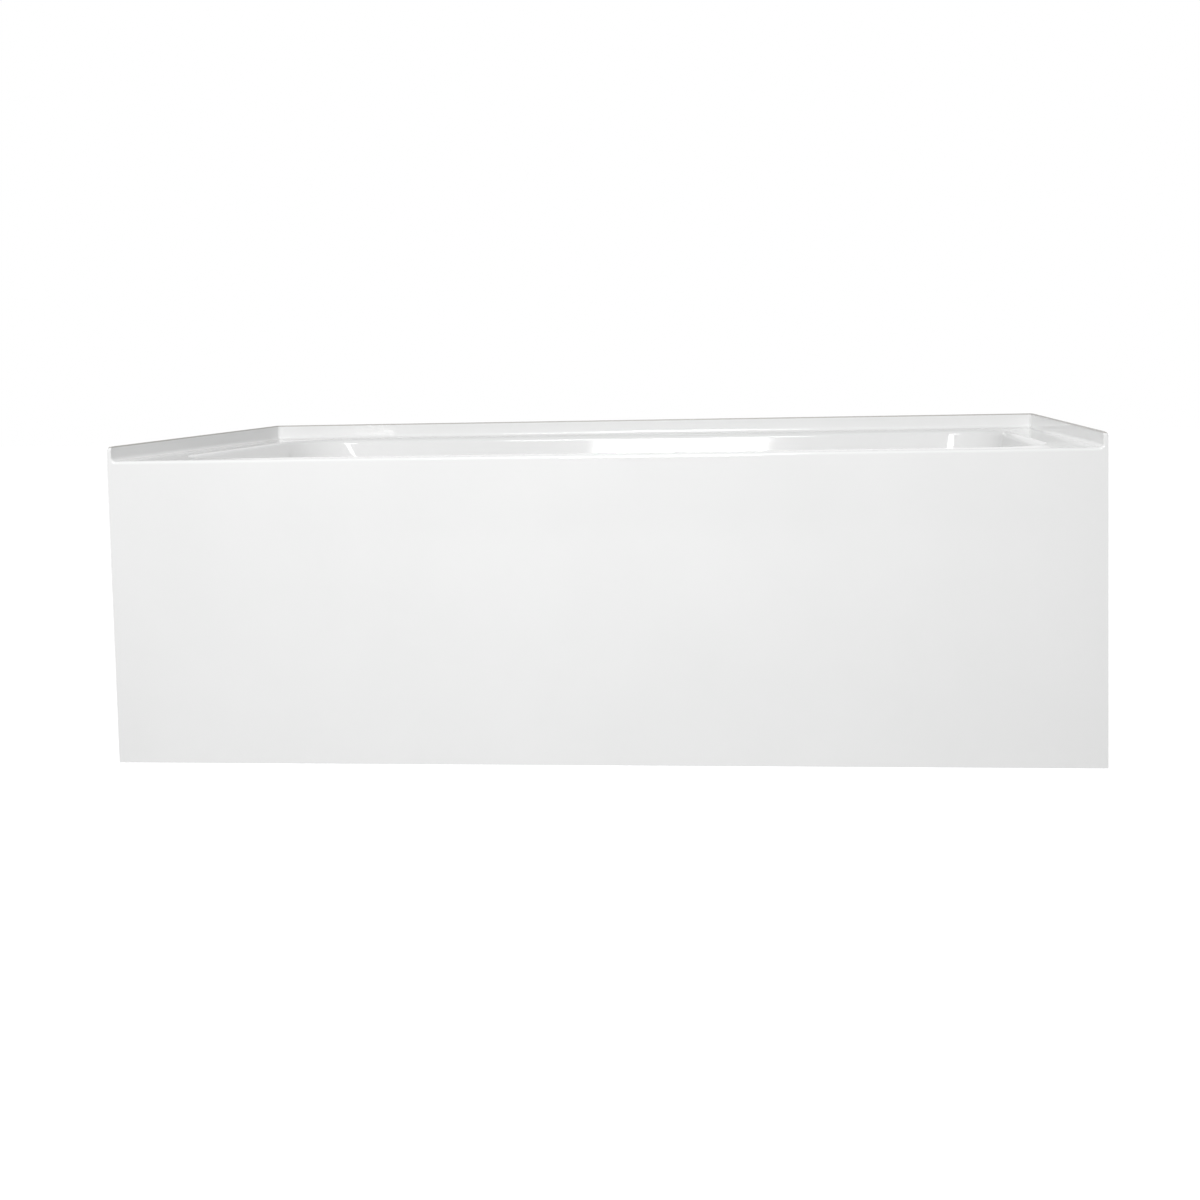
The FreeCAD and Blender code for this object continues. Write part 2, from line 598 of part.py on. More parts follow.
def foot_stud(x, y):
    """Stud with spanner flats just above the pad and an eased tip."""
    low = PAD_HEIGHT - PAD_SOCKET
    high = BOARD_UNDER + STUD_ABOVE_RAIL
    stud = turned([(0, low), (STUD_RADIUS, low), (STUD_RADIUS, high - STUD_EASE),
                   (STUD_RADIUS - STUD_EASE, high), (0, high)])
    grip = hexagon(STUD_GRIP, PAD_HEIGHT, PAD_HEIGHT + STUD_GRIP_HEIGHT)
    return moved(stud.fuse(grip).removeSplitter(), x, y)


def foot_pad(x, y):
    """Round pad, waisted to a collar that holds the stud's end."""
    collar = STUD_RADIUS + PAD_COLLAR_WALL
    socket_floor = PAD_HEIGHT - PAD_SOCKET
    pad = turned([(0, 0), (PAD_RADIUS - PAD_EDGE, 0), (PAD_RADIUS, PAD_EDGE), (PAD_RADIUS, PAD_RIM),
                  (PAD_RADIUS - PAD_EDGE, PAD_RIM + PAD_EDGE), (collar + PAD_NECK - PAD_WAIST, PAD_WAIST),
                  (collar, PAD_NECK), (collar, PAD_HEIGHT),
                  (STUD_RADIUS, PAD_HEIGHT), (STUD_RADIUS, socket_floor), (0, socket_floor)])
    return moved(pad, x, y)


def apron_brackets():
    """Bent steel angles from under the board to the lower batten."""
    brackets = []
    y_end = BASIN_Y - BOARD_HALF_WIDTH + BRACKET_LAP
    low = BOARD_UNDER - BRACKET_WALL
    for x in BRACKET_PLACES:
        x_low = x - BRACKET_WIDTH / 2
        section = [(BATTEN_BACK, low), (y_end, low), (y_end, BOARD_UNDER),
                   (BATTEN_BACK + BRACKET_WALL, BOARD_UNDER), (BATTEN_BACK + BRACKET_WALL, low + BRACKET_TAB),
                   (BATTEN_BACK, low + BRACKET_TAB)]
        bracket = polygon_face([Vector(x_low, y, z) for y, z in section]).extrude(X_AXIS * BRACKET_WIDTH)
        brackets.append(bracket.cut(bracket_screw_set()))
    return Part.makeCompound(brackets)


def drain_flange():
    """Bright flange in the floor's well, with the plug's conical seat and a threaded barrel."""
    top = WELL_FLOOR + WELL_DEPTH
    land = top - DRAIN_LAND
    profile = [(DRAIN_RIM, WELL_FLOOR), (DRAIN_RIM, land - DRAIN_BEVEL), (DRAIN_RIM - DRAIN_BEVEL, land),
               (DRAIN_RIM - 3 * DRAIN_BEVEL, top), (SEAT_TOP + DRAIN_BEVEL, top), (SEAT_TOP, land),
               (DRAIN_BORE, land - SEAT_DEPTH), (DRAIN_BORE, WELL_FLOOR - BARREL_LENGTH),
               (BARREL_RADIUS, WELL_FLOOR - BARREL_LENGTH), (BARREL_RADIUS, WELL_FLOOR)]
    return moved(turned(profile), DRAIN_X, BASIN_Y)


def drain_gasket():
    low = WELL_UNDER - GASKET
    inner = GASKET_RADIUS - GASKET_EASE
    profile = [(DRAIN_HOLE, low), (inner, low), (GASKET_RADIUS, low + GASKET_EASE),
               (GASKET_RADIUS, WELL_UNDER - GASKET_EASE), (inner, WELL_UNDER), (DRAIN_HOLE, WELL_UNDER)]
    return moved(turned(profile), DRAIN_X, BASIN_Y)


def waste_shoe():
    """Elbow under the drain: flanged upright cup with a level socket."""
    top = WELL_UNDER - GASKET
    bottom = WASTE_LINE - FITTING_RADIUS - SHOE_SUMP
    chamber_floor = WASTE_LINE - TUBE_BORE - SHOE_SUMP
    flange_low = top - SHOE_FLANGE
    cup = turned([(0, bottom), (SHOE_RADIUS - SHOE_FOOT, bottom), (SHOE_RADIUS, bottom + SHOE_FOOT),
                  (SHOE_RADIUS, flange_low - SHOE_COLLAR), (SHOE_RADIUS + SHOE_COLLAR, flange_low),
                  (GASKET_RADIUS, flange_low), (GASKET_RADIUS, top), (0, top)])
    cup = moved(cup, DRAIN_X, BASIN_Y)
    middle = Vector(DRAIN_X, BASIN_Y, WASTE_LINE)
    shoe = cup.fuse(Part.makeCylinder(FITTING_RADIUS, FITTING_ARM, middle, X_AXIS))
    ledge = WELL_FLOOR - BARREL_LENGTH - THREAD_GAP
    shoe = shoe.cut(upright(BARREL_RADIUS + THREAD_GAP, ledge, top + PAST, DRAIN_X, BASIN_Y))
    shoe = shoe.cut(upright(DRAIN_BORE, chamber_floor, top, DRAIN_X, BASIN_Y))
    shoe = shoe.cut(Part.makeCylinder(TUBE_BORE, FITTING_ARM + PAST, middle, X_AXIS))
    mouth = Vector(SHOE_RIGHT - SOCKET_DEPTH, BASIN_Y, WASTE_LINE)
    return shoe.cut(Part.makeCylinder(SOCKET_RADIUS, SOCKET_DEPTH + PAST, mouth, X_AXIS))


def waste_tube():
    start = Vector(SHOE_RIGHT - SOCKET_DEPTH, BASIN_Y, WASTE_LINE)
    length = TEE_LEFT + SOCKET_DEPTH - start.x
    outside = Part.makeCylinder(TUBE_RADIUS, length, start, X_AXIS)
    return outside.cut(Part.makeCylinder(TUBE_BORE, length, start, X_AXIS))


def waste_tee():
    """Tee: level socket from the shoe, upright socket for the overflow, spigot down to the trap."""
    centre = Vector(TEE_X, BASIN_Y, WASTE_LINE)
    body_bottom = WASTE_LINE - FITTING_RADIUS - SHEET
    tee = upright(FITTING_RADIUS, body_bottom, TEE_TOP, TEE_X, BASIN_Y)
    tee = tee.fuse(Part.makeCylinder(FITTING_RADIUS, FITTING_ARM, centre, -X_AXIS))
    tee = tee.fuse(upright(TUBE_RADIUS, SPIGOT_END, body_bottom, TEE_X, BASIN_Y))
    tee = tee.cut(upright(TUBE_BORE, 0, TEE_TOP, TEE_X, BASIN_Y))
    tee = tee.cut(Part.makeCylinder(TUBE_BORE, FITTING_ARM, centre, -X_AXIS))
    tee = tee.cut(upright(SOCKET_RADIUS, TEE_TOP - SOCKET_DEPTH, TEE_TOP + PAST, TEE_X, BASIN_Y))
    mouth = Vector(TEE_LEFT + SOCKET_DEPTH, BASIN_Y, WASTE_LINE)
    return tee.cut(Part.makeCylinder(SOCKET_RADIUS, SOCKET_DEPTH + PAST, mouth, -X_AXIS))


def overflow_tube():
    low = TEE_TOP - SOCKET_DEPTH
    high = ELBOW_END + SOCKET_DEPTH
    outside = upright(TUBE_RADIUS, low, high, TEE_X, BASIN_Y)
    return outside.cut(upright(TUBE_BORE, low, high, TEE_X, BASIN_Y))


def overflow_elbow():
    """Elbow behind the wall: flanged mouth square to the wall, bend, and socket straight down."""
    bend = Vector(TEE_X, BASIN_Y, ELBOW_Z)
    seat = -SHEET - LAMINATE - OVERFLOW_GASKET
    reach = OVERFLOW_STANDOFF / math.cos(WALL_LEAN)
    mouth = upright(OVERFLOW_RIM, seat - OVERFLOW_FLANGE, seat).fuse(upright(FITTING_RADIUS, -reach, seat))
    elbow = on_overflow(mouth).fuse([Part.makeSphere(FITTING_RADIUS, bend),
                                     upright(FITTING_RADIUS, ELBOW_END, ELBOW_Z, TEE_X, BASIN_Y)])
    for side in (-1, 1):
        hole = upright(PLATE_SCREW_RADIUS, PLATE_SCREW_END, 0, side * PLATE_SCREW_REACH)
        elbow = elbow.cut(on_overflow(hole))
    elbow = elbow.cut(on_overflow(upright(MOUTH_BORE, -reach, 0)))
    elbow = elbow.cut(Part.makeSphere(MOUTH_BORE, bend))
    elbow = elbow.cut(upright(TUBE_BORE, ELBOW_END - PAST, ELBOW_Z, TEE_X, BASIN_Y))
    return elbow.cut(upright(SOCKET_RADIUS, ELBOW_END - PAST, ELBOW_END + SOCKET_DEPTH, TEE_X, BASIN_Y))


def overflow_gasket():
    high = -SHEET - LAMINATE
    low = high - OVERFLOW_GASKET
    ring = upright(OVERFLOW_RIM, low, high).cut(upright(OVERFLOW_HOLE, low - PAST, high + PAST))
    return on_overflow(ring)


def slip_joints():
    """Where each slip nut sits: the end of its fitting, and the way the tube leaves it."""
    return [(Vector(TEE_LEFT, BASIN_Y, WASTE_LINE), -X_AXIS),
            (Vector(TEE_X, BASIN_Y, TEE_TOP), Z_AXIS),
            (Vector(TEE_X, BASIN_Y, ELBOW_END), -Z_AXIS)]


def slip_nuts():
    """Hexagon nuts that squeeze a washer onto the tube at the end of each fitting."""
    nut = hexagon(NUT_ACROSS, -NUT_OVERLAP, WASHER + NUT_SHOULDER)
    nut = nut.cut(upright(FITTING_RADIUS + NUT_GAP, -NUT_OVERLAP - PAST, WASHER))
    nut = nut.cut(upright(SOCKET_RADIUS + NUT_GAP, 0, WASHER + NUT_SHOULDER + PAST))
    return Part.makeCompound([placed(nut, point, away) for point, away in slip_joints()])


def slip_washers():
    ring = upright(FITTING_RADIUS, 0, WASHER).cut(upright(SOCKET_RADIUS, -PAST, WASHER + PAST))
    return Part.makeCompound([placed(ring, point, away) for point, away in slip_joints()])


def plate_dome(radius, crown, edge):
    """Shallow domed disc on the Z axis."""
    rise = crown - edge
    ball = (radius ** 2 + rise ** 2) / (2 * rise)
    middle = Vector(radius / 2, 0, crown - ball + math.sqrt(ball ** 2 - (radius / 2) ** 2))
    top = Vector(0, 0, crown)
    rim = Vector(radius, 0, edge)
    arc = Part.Arc(top, middle, rim).toShape()
    foot = Vector(radius, 0, 0)
    edges = [arc, Part.makeLine(foot, Vector()), Part.makeLine(Vector(), top)]
    if edge > 0:
        edges.insert(1, Part.makeLine(rim, foot))
    return face_of(edges).revolve(Vector(), Z_AXIS, 360)


def overflow_plate():
    """Domed face plate: lever slot, two screw bosses, ears for the lever's pin and water holes."""
    dome = plate_dome(PLATE_RADIUS, PLATE_CROWN, PLATE_EDGE)
    plate = dome.cut(plate_dome(PLATE_RADIUS - PLATE_WALL, PLATE_CROWN - PLATE_WALL, 0.0))
    ear_inner = LEVER_HALF_WIDTH + EAR_GAP
    for side in (-1, 1):
        boss = upright(PLATE_BOSS, 0.5, PLATE_CROWN, side * PLATE_SCREW_REACH).common(dome)
        low, high = sorted((side * ear_inner, side * (ear_inner + EAR_WALL)))
        ear = box(-EAR_HALF_LENGTH, EAR_HALF_LENGTH, low, high, 0.5, PLATE_CROWN).common(dome)
        plate = plate.fuse([boss, ear])
    half_slot = PLATE_SLOT_LENGTH / 2
    half_width = PLATE_SLOT_WIDTH / 2
    plate = plate.cut(box(-half_slot, half_slot, -half_width, half_width, 0, PLATE_CROWN + PAST))
    plate = plate.cut(lever_pin_shape())
    for side in (-1, 1):
        x = side * PLATE_SCREW_REACH
        plate = plate.cut(upright(PLATE_SCREW_RADIUS, -PAST, PLATE_CROWN + PAST, x))
        plate = plate.cut(upright(PLATE_SCREW_HEAD + THREAD_GAP, PLATE_BOSS_SEAT, PLATE_CROWN + PAST, x))
    for angle in WATER_HOLE_ANGLES:
        x = WATER_HOLE_REACH * math.cos(math.radians(angle))
        y = WATER_HOLE_REACH * math.sin(math.radians(angle))
        plate = plate.cut(upright(WATER_HOLE, -PAST, PLATE_CROWN + PAST, x, y))
    return on_overflow(plate)


def lever_pin_shape():
    """Pin across the plate's ears, in the plate's own frame."""
    half = LEVER_HALF_WIDTH + EAR_GAP + EAR_WALL
    return Part.makeCylinder(LEVER_PIN, 2 * half, Vector(0, -half, LEVER_PIVOT), Y_AXIS)


def plate_screws():
    """Two countersunk-style screws from the plate into the elbow's flange."""
    screws = []
    for side in (-1, 1):
        x = side * PLATE_SCREW_REACH
        head_top = PLATE_BOSS_SEAT + PLATE_SCREW_HEAD_HEIGHT
        screw = turned([(0, PLATE_SCREW_END), (PLATE_SCREW_RADIUS, PLATE_SCREW_END),
                        (PLATE_SCREW_RADIUS, PLATE_BOSS_SEAT),
                        (PLATE_SCREW_HEAD, PLATE_BOSS_SEAT), (PLATE_SCREW_HEAD, head_top - PLATE_SCREW_EASE),
                        (PLATE_SCREW_HEAD - PLATE_SCREW_EASE, head_top), (0, head_top)])
        screws.append(on_overflow(moved(screw, x)))
    return Part.makeCompound(screws)


def trip_lever():
    """Handle in the basin, hub on the pin and forked arm behind the wall; handle up, plug open.

    Drawn with the arm level along +X, then turned down by half the swing to its rest.
    """
    width = 2 * LEVER_HALF_WIDTH
    hub = Part.makeCylinder(LEVER_HUB, width, Vector(0, -LEVER_HALF_WIDTH, 0), Y_AXIS)
    half_arm = ARM_HEIGHT / 2
    arm = box(0, ARM_LENGTH, -LEVER_HALF_WIDTH, LEVER_HALF_WIDTH, -half_arm, half_arm)
    nose = Part.makeCylinder(FORK_NOSE, width, Vector(ARM_LENGTH, -LEVER_HALF_WIDTH, 0), Y_AXIS)
    nose = nose.common(box(0, ARM_LENGTH + FORK_NOSE, -width, width, -half_arm, half_arm))
    fork = box(ARM_LENGTH - FORK_DEPTH, ARM_LENGTH + 2 * FORK_NOSE, -FORK_GAP, FORK_GAP, -width, width)
    pin = Part.makeCylinder(FORK_PIN, width, Vector(ARM_LENGTH, -LEVER_HALF_WIDTH, 0), Y_AXIS)
    handle = placed(handle_blade(), Vector(), OVERFLOW_NORMAL)
    lever = hub.fuse([arm, nose, handle]).cut(fork).fuse(pin)
    bore = LEVER_PIN + RUNNING_FIT
    lever = lever.cut(Part.makeCylinder(bore, width + 2 * PAST, Vector(0, -LEVER_HALF_WIDTH - PAST, 0), Y_AXIS))
    lever.rotate(Vector(), Y_AXIS, LEVER_SWING / 2)
    return moved(lever, PIVOT_POINT.x, PIVOT_POINT.y, PIVOT_POINT.z).removeSplitter()


def handle_blade():
    """Blade along Z that flares in Y to a round tip."""
    half = HANDLE_THICKNESS / 2
    tip = HANDLE_LENGTH - HANDLE_TIP
    points = [Vector(-half, -LEVER_HALF_WIDTH, 0), Vector(-half, -LEVER_HALF_WIDTH, HANDLE_FLARE),
              Vector(-half, -HANDLE_TIP, tip), Vector(-half, HANDLE_TIP, tip),
              Vector(-half, LEVER_HALF_WIDTH, HANDLE_FLARE), Vector(-half, LEVER_HALF_WIDTH, 0)]
    end = Part.Arc(points[2], Vector(-half, 0, HANDLE_LENGTH), points[3]).toShape()
    edges = [Part.makeLine(points[a], points[a + 1]) for a in (0, 1, 3, 4)]
    edges += [end, Part.makeLine(points[5], points[0])]
    return face_of(edges).extrude(X_AXIS * HANDLE_THICKNESS)


def spring_foot():
    """Height of the spring's lowest point at rest, just above the rocker's paddle."""
    drop = ROCKER_LONG * math.sin(math.radians(ROCKER_TURN / 2))
    lean = ROCKER_RISE * math.cos(math.radians(ROCKER_TURN / 2))
    return ROCKER_POINT.z - drop + lean + KNOB_RADIUS + REST_GAP


def linkage_rod():
    """Flat eye on the lever's fork pin, and the wire down to the spring."""
    outline = rounded_outline(-EYE_HALF_WIDTH, EYE_HALF_WIDTH, -EYE_HALF_HEIGHT, EYE_HALF_HEIGHT,
                              EYE_CORNER, EYE_CORNER, 0)
    half_slot = FORK_PIN + EYE_PLAY
    half_high = FORK_PIN + EYE_LIFT_PLAY
    slot = rounded_outline(-half_slot, half_slot, -half_high, half_high, half_high - 0.1, half_high - 0.1, 0)
    eye = Part.Face(outline).extrude(Z_AXIS * EYE_THICKNESS)
    eye = eye.cut(Part.Face(slot).extrude(Z_AXIS * EYE_THICKNESS))
    eye.rotate(Vector(), X_AXIS, 90)
    eye = moved(eye, LINK_X, BASIN_Y + EYE_THICKNESS / 2, EYE_Z)
    low = spring_foot() + 2 * SPRING_WIRE + SPRING_TURNS * SPRING_PITCH - LINK_TAIL
    wire = upright(LINK_RADIUS, low, EYE_Z - half_high - 1, LINK_X, BASIN_Y)
    return eye.fuse(wire).removeSplitter()


def linkage_nut():
    low = spring_foot() + 2 * SPRING_WIRE + SPRING_TURNS * SPRING_PITCH
    nut = hexagon(LINK_NUT, low, low + LINK_NUT_HEIGHT)
    nut = nut.cut(upright(LINK_RADIUS, low - PAST, low + LINK_NUT_HEIGHT + PAST))
    return moved(nut, LINK_X, BASIN_Y)


def linkage_spring():
    """Coil between the nut and the rocker's paddle."""
    base = spring_foot() + SPRING_WIRE
    helix = Part.makeHelix(SPRING_PITCH, SPRING_PITCH * SPRING_TURNS, SPRING_RADIUS)
    section = Part.Wire(Part.makeCircle(SPRING_WIRE, Vector(SPRING_RADIUS, 0, 0), Y_AXIS))
    coil = Part.Wire(helix.Edges).makePipeShell([section], True, True)
    coil.rotate(Vector(), Z_AXIS, -90)
    return moved(coil, LINK_X, BASIN_Y, base)


def rocker_arm():
    """Strip folded to a round bow that rocks on the tube's floor, with a paddle and a lifting knob.

    Drawn level about its bow, then turned by half its travel: paddle down, knob up, plug open.
    """
    half = ROCKER_WALL / 2
    thickness = 2 * ROCKER_HALF_WIDTH
    start = Vector(0, -ROCKER_HALF_WIDTH, 0)
    bow = Part.makeCylinder(BOW_RADIUS, thickness, start, Y_AXIS)
    bow = bow.cut(Part.makeCylinder(BOW_RADIUS - ROCKER_WALL, thickness, start, Y_AXIS))
    bow = bow.cut(box(-2 * BOW_RADIUS, 2 * BOW_RADIUS, -thickness, thickness, 0, 2 * BOW_RADIUS))
    low = ROCKER_RISE - half
    high = ROCKER_RISE + half
    inner = BOW_RADIUS - ROCKER_WALL
    legs = [box(inner, BOW_RADIUS, -ROCKER_HALF_WIDTH, ROCKER_HALF_WIDTH, 0, high),
            box(-BOW_RADIUS, -inner, -ROCKER_HALF_WIDTH, ROCKER_HALF_WIDTH, 0, high)]
    arms = [box(inner, ROCKER_LONG, -ROCKER_HALF_WIDTH, ROCKER_HALF_WIDTH, low, high),
            box(-ROCKER_SHORT, -inner, -ROCKER_HALF_WIDTH, ROCKER_HALF_WIDTH, low, high)]
    paddle_start = Vector(ROCKER_LONG, -PADDLE_HALF_WIDTH, ROCKER_RISE)
    knob_start = Vector(-ROCKER_SHORT, -STEM_RADIUS, ROCKER_RISE)
    ends = [Part.makeCylinder(KNOB_RADIUS, 2 * PADDLE_HALF_WIDTH, paddle_start, Y_AXIS),
            Part.makeCylinder(KNOB_RADIUS, 2 * STEM_RADIUS, knob_start, Y_AXIS)]
    rocker = bow.fuse(legs + arms + ends).removeSplitter()
    rocker.rotate(Vector(), Y_AXIS, ROCKER_TURN / 2)
    return moved(rocker, ROCKER_POINT.x, ROCKER_POINT.y, ROCKER_POINT.z)


def stem_foot():
    """Height of the stopper's stem end at rest, just above the rocker's knob."""
    rise = ROCKER_SHORT * math.sin(math.radians(ROCKER_TURN / 2))
    lean = ROCKER_RISE * math.cos(math.radians(ROCKER_TURN / 2))
    return ROCKER_POINT.z + rise + lean + KNOB_RADIUS + REST_GAP


def stopper():
    """Domed plug with a stem and crossed guide fins, drawn shut and raised to its open rest."""
    flange_top = WELL_FLOOR + WELL_DEPTH
    cap_low = flange_top + REST_GAP
    plug_low = cap_low - PLUG_DEPTH
    root = plug_low + PLUG_EASE
    profile = [(0, plug_low), (PLUG_RADIUS - PLUG_EASE, plug_low), (PLUG_RADIUS, root),
               (PLUG_RADIUS, cap_low), (CAP_RADIUS, cap_low), (CAP_RADIUS, cap_low + CAP_EDGE)]
    steps = 6
    for step in range(1, steps + 1):
        angle = math.radians(90 * step / steps)
        profile.append((CAP_RADIUS * math.cos(angle) ** 0.8 if step < steps else 0,
                        cap_low + CAP_EDGE + (CAP_CROWN - CAP_EDGE) * math.sin(angle)))
    body = turned(profile)
    stem_low = stem_foot() - STOPPER_LIFT
    body = body.fuse(upright(STEM_RADIUS, stem_low, root))
    fin_low = plug_low - FIN_DEPTH
    guide = turned([(0, fin_low), (FIN_RADIUS, fin_low), (FIN_RADIUS, plug_low - FIN_SHOULDER),
                    (PLUG_RADIUS - 2 * PLUG_EASE, root), (0, root)])
    for turn in (45, 135):
        fin = box(-FIN_RADIUS, FIN_RADIUS, -FIN_WALL / 2, FIN_WALL / 2, fin_low, root)
        fin = fin.common(guide)
        fin.rotate(Vector(), Z_AXIS, turn)
        body = body.fuse(fin)
    return moved(body.removeSplitter(), DRAIN_X, BASIN_Y, STOPPER_LIFT)


def stopper_ring():
    height = WELL_FLOOR + WELL_DEPTH - RING_DROP + STOPPER_LIFT
    return Part.makeTorus(PLUG_RADIUS + RING_RADIUS, RING_RADIUS, Vector(DRAIN_X, BASIN_Y, height))


def all_parts():
    parts = {
        "tub_shell": tub_shell(),
        "fibreglass_backing": fibreglass_backing(),
        "apron_panel": apron_panel(),
        "apron_battens": apron_battens(),
        "base_board": base_board(),
        "support_rails": support_rails(),
        "rail_screws": Part.makeCompound(rail_screw_set()),
        "rail_nuts": foot_nuts(RAIL_UNDER_WEB - WELD_NUT_HEIGHT, WELD_NUT_HEIGHT),
        "jam_nuts": foot_nuts(BOARD_UNDER, JAM_NUT_HEIGHT),
        "apron_brackets": apron_brackets(),
        "bracket_screws": Part.makeCompound(bracket_screw_set()),
        "drain_flange": drain_flange(),
        "drain_gasket": drain_gasket(),
        "waste_shoe": waste_shoe(),
        "waste_tube": waste_tube(),
        "waste_tee": waste_tee(),
        "overflow_tube": overflow_tube(),
        "overflow_elbow": overflow_elbow(),
        "overflow_gasket": overflow_gasket(),
        "slip_nuts": slip_nuts(),
        "slip_washers": slip_washers(),
        "overflow_plate": overflow_plate(),
        "plate_screws": plate_screws(),
        "lever_pin": on_overflow(lever_pin_shape()),
        "trip_lever": trip_lever(),
        "linkage_rod": linkage_rod(),
        "linkage_nut": linkage_nut(),
        "linkage_spring": linkage_spring(),
        "rocker_arm": rocker_arm(),
        "stopper": stopper(),
        "stopper_ring": stopper_ring(),
    }
    for name, (x, y) in foot_places().items():
        parts["foot_stud_" + name] = foot_stud(x, y)
        parts["foot_pad_" + name] = foot_pad(x, y)
    return parts


os.makedirs("parts", exist_ok=True)
for node, shape in all_parts().items():
    valid = shape.isValid() and all(solid.Volume > 0 for solid in shape.Solids)
    print(node, "solids", len(shape.Solids), "volume", round(shape.Volume / 1000, 2), "cm3", "valid", valid)
    shape.exportStep("parts/" + node + ".step")
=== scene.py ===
import bpy
import bmesh
import json
import math
import numpy as np
from mathutils import Matrix, Vector


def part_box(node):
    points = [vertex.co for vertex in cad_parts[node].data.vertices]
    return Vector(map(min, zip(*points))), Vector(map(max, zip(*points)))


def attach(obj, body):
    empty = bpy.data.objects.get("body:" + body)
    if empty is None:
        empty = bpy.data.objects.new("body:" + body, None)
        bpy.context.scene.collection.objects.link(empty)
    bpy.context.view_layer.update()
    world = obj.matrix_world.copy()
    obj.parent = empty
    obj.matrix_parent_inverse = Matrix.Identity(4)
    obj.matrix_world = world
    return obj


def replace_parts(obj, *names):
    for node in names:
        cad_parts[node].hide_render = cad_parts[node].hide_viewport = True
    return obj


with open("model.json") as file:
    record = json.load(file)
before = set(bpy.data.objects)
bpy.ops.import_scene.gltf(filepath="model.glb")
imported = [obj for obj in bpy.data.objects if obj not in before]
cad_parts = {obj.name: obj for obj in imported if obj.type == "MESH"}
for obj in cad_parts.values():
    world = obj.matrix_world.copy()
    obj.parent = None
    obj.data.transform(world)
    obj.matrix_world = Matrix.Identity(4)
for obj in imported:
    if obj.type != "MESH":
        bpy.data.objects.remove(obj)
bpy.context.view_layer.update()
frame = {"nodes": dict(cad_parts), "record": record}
print("frame loaded,", len(frame["nodes"]), "nodes")


# node trees
def newGroup(name, inputs, outputs):
    tree = bpy.data.node_groups.new(name, "ShaderNodeTree")
    for label, kind, value in inputs:
        socket = tree.interface.new_socket(label, in_out="INPUT", socket_type="NodeSocket" + kind)
        if value is not None:
            socket.default_value = value
    for label, kind in outputs:
        tree.interface.new_socket(label, in_out="OUTPUT", socket_type="NodeSocket" + kind)
    source = tree.nodes.new("NodeGroupInput")
    source.location = (-900, 0)
    sink = tree.nodes.new("NodeGroupOutput")
    sink.location = (600, 0)
    return tree, source.outputs, sink.inputs


def addNode(tree, kind, place=(0, 0), values=None, **settings):
    # a value that is a socket is linked to its input, and any other is set on it
    node = tree.nodes.new("ShaderNode" + kind)
    node.location = place
    for key, value in settings.items():
        setattr(node, key, value)
    for key, value in (values or {}).items():
        if isinstance(value, bpy.types.NodeSocket):
            tree.links.new(value, node.inputs[key])
        else:
            node.inputs[key].default_value = value
    return node


def mathNode(tree, operation, a, b=0.0, place=(0, 0)):
    return addNode(tree, "Math", place, {0: a, 1: b}, operation=operation).outputs[0]


def stretch(tree, value, limits=(0.0, 1.0), span=(0.0, 1.0), place=(0, 0)):
    # a value between its two limits becomes one between the two ends of the span
    return addNode(tree, "MapRange", place, {
        "Value": value, "From Min": limits[0], "From Max": limits[1],
        "To Min": span[0], "To Max": span[1]}).outputs["Result"]


# the part of each noise's range that is drawn out to 0 and 1
spreads = {"cloud": (0.3, 0.7), "streaks": (0.35, 0.65)}


# noise between two values: a soft cloud that any material can stretch to its own range
def makeCloud():
    tree, given, result = newGroup("cloud", [
        ("Vector", "Vector", None), ("Scale", "Float", 10.0), ("Detail", "Float", 3.0),
        ("Low", "Float", 0.0), ("High", "Float", 1.0)], [("Value", "Float")])
    noise = addNode(tree, "TexNoise", (-600, 0), {
        "Vector": given["Vector"], "Scale": given["Scale"], "Detail": given["Detail"]})
    soft = stretch(tree, noise.outputs["Fac"], spreads["cloud"], (given["Low"], given["High"]),
                   (-300, 0))
    tree.links.new(soft, result["Value"])
    return tree


# fine lines drawn along X, where the noise is stretched Length times
def makeStreaks():
    tree, given, result = newGroup("streaks", [
        ("Vector", "Vector", None), ("Scale", "Float", 200.0), ("Length", "Float", 20.0)],
        [("Value", "Float")])
    slow = mathNode(tree, "DIVIDE", 1.0, given["Length"], (-750, -150))
    slower = addNode(tree, "CombineXYZ", (-600, -150), {"X": slow, "Y": 1.0, "Z": 1.0})
    long = addNode(tree, "VectorMath", (-450, 0), {0: given["Vector"], 1: slower.outputs[0]},
                   operation="MULTIPLY")
    noise = addNode(tree, "TexNoise", (-250, 0), {
        "Vector": long.outputs[0], "Scale": given["Scale"], "Detail": 4.0})
    tree.links.new(stretch(tree, noise.outputs["Fac"], spreads["streaks"]), result["Value"])
    return tree


# dust lies where a surface looks up, from the first slope to the second, broken by noise
dust = {"slopes": (0.2, 0.95), "scale": 45.0, "detail": 6.0, "spread": (0.35, 0.75)}


def makeDust():
    tree, given, result = newGroup("dust", [
        ("Vector", "Vector", None), ("Amount", "Float", 0.5)], [("Mask", "Float")])
    facing = addNode(tree, "NewGeometry", (-750, 200))
    up = addNode(tree, "SeparateXYZ", (-600, 200), {0: facing.outputs["Normal"]})
    level = stretch(tree, up.outputs["Z"], dust["slopes"], place=(-450, 200))
    noise = addNode(tree, "TexNoise", (-600, -50), {
        "Vector": given["Vector"], "Scale": dust["scale"], "Detail": dust["detail"]})
    patch = stretch(tree, noise.outputs["Fac"], dust["spread"], place=(-400, -50))
    both = mathNode(tree, "MULTIPLY", level, patch, (-200, 50))
    mask = mathNode(tree, "MULTIPLY", both, given["Amount"], (0, 50))
    tree.links.new(mask, result["Mask"])
    return tree


groups = {"cloud": makeCloud(), "streaks": makeStreaks(), "dust": makeDust()}


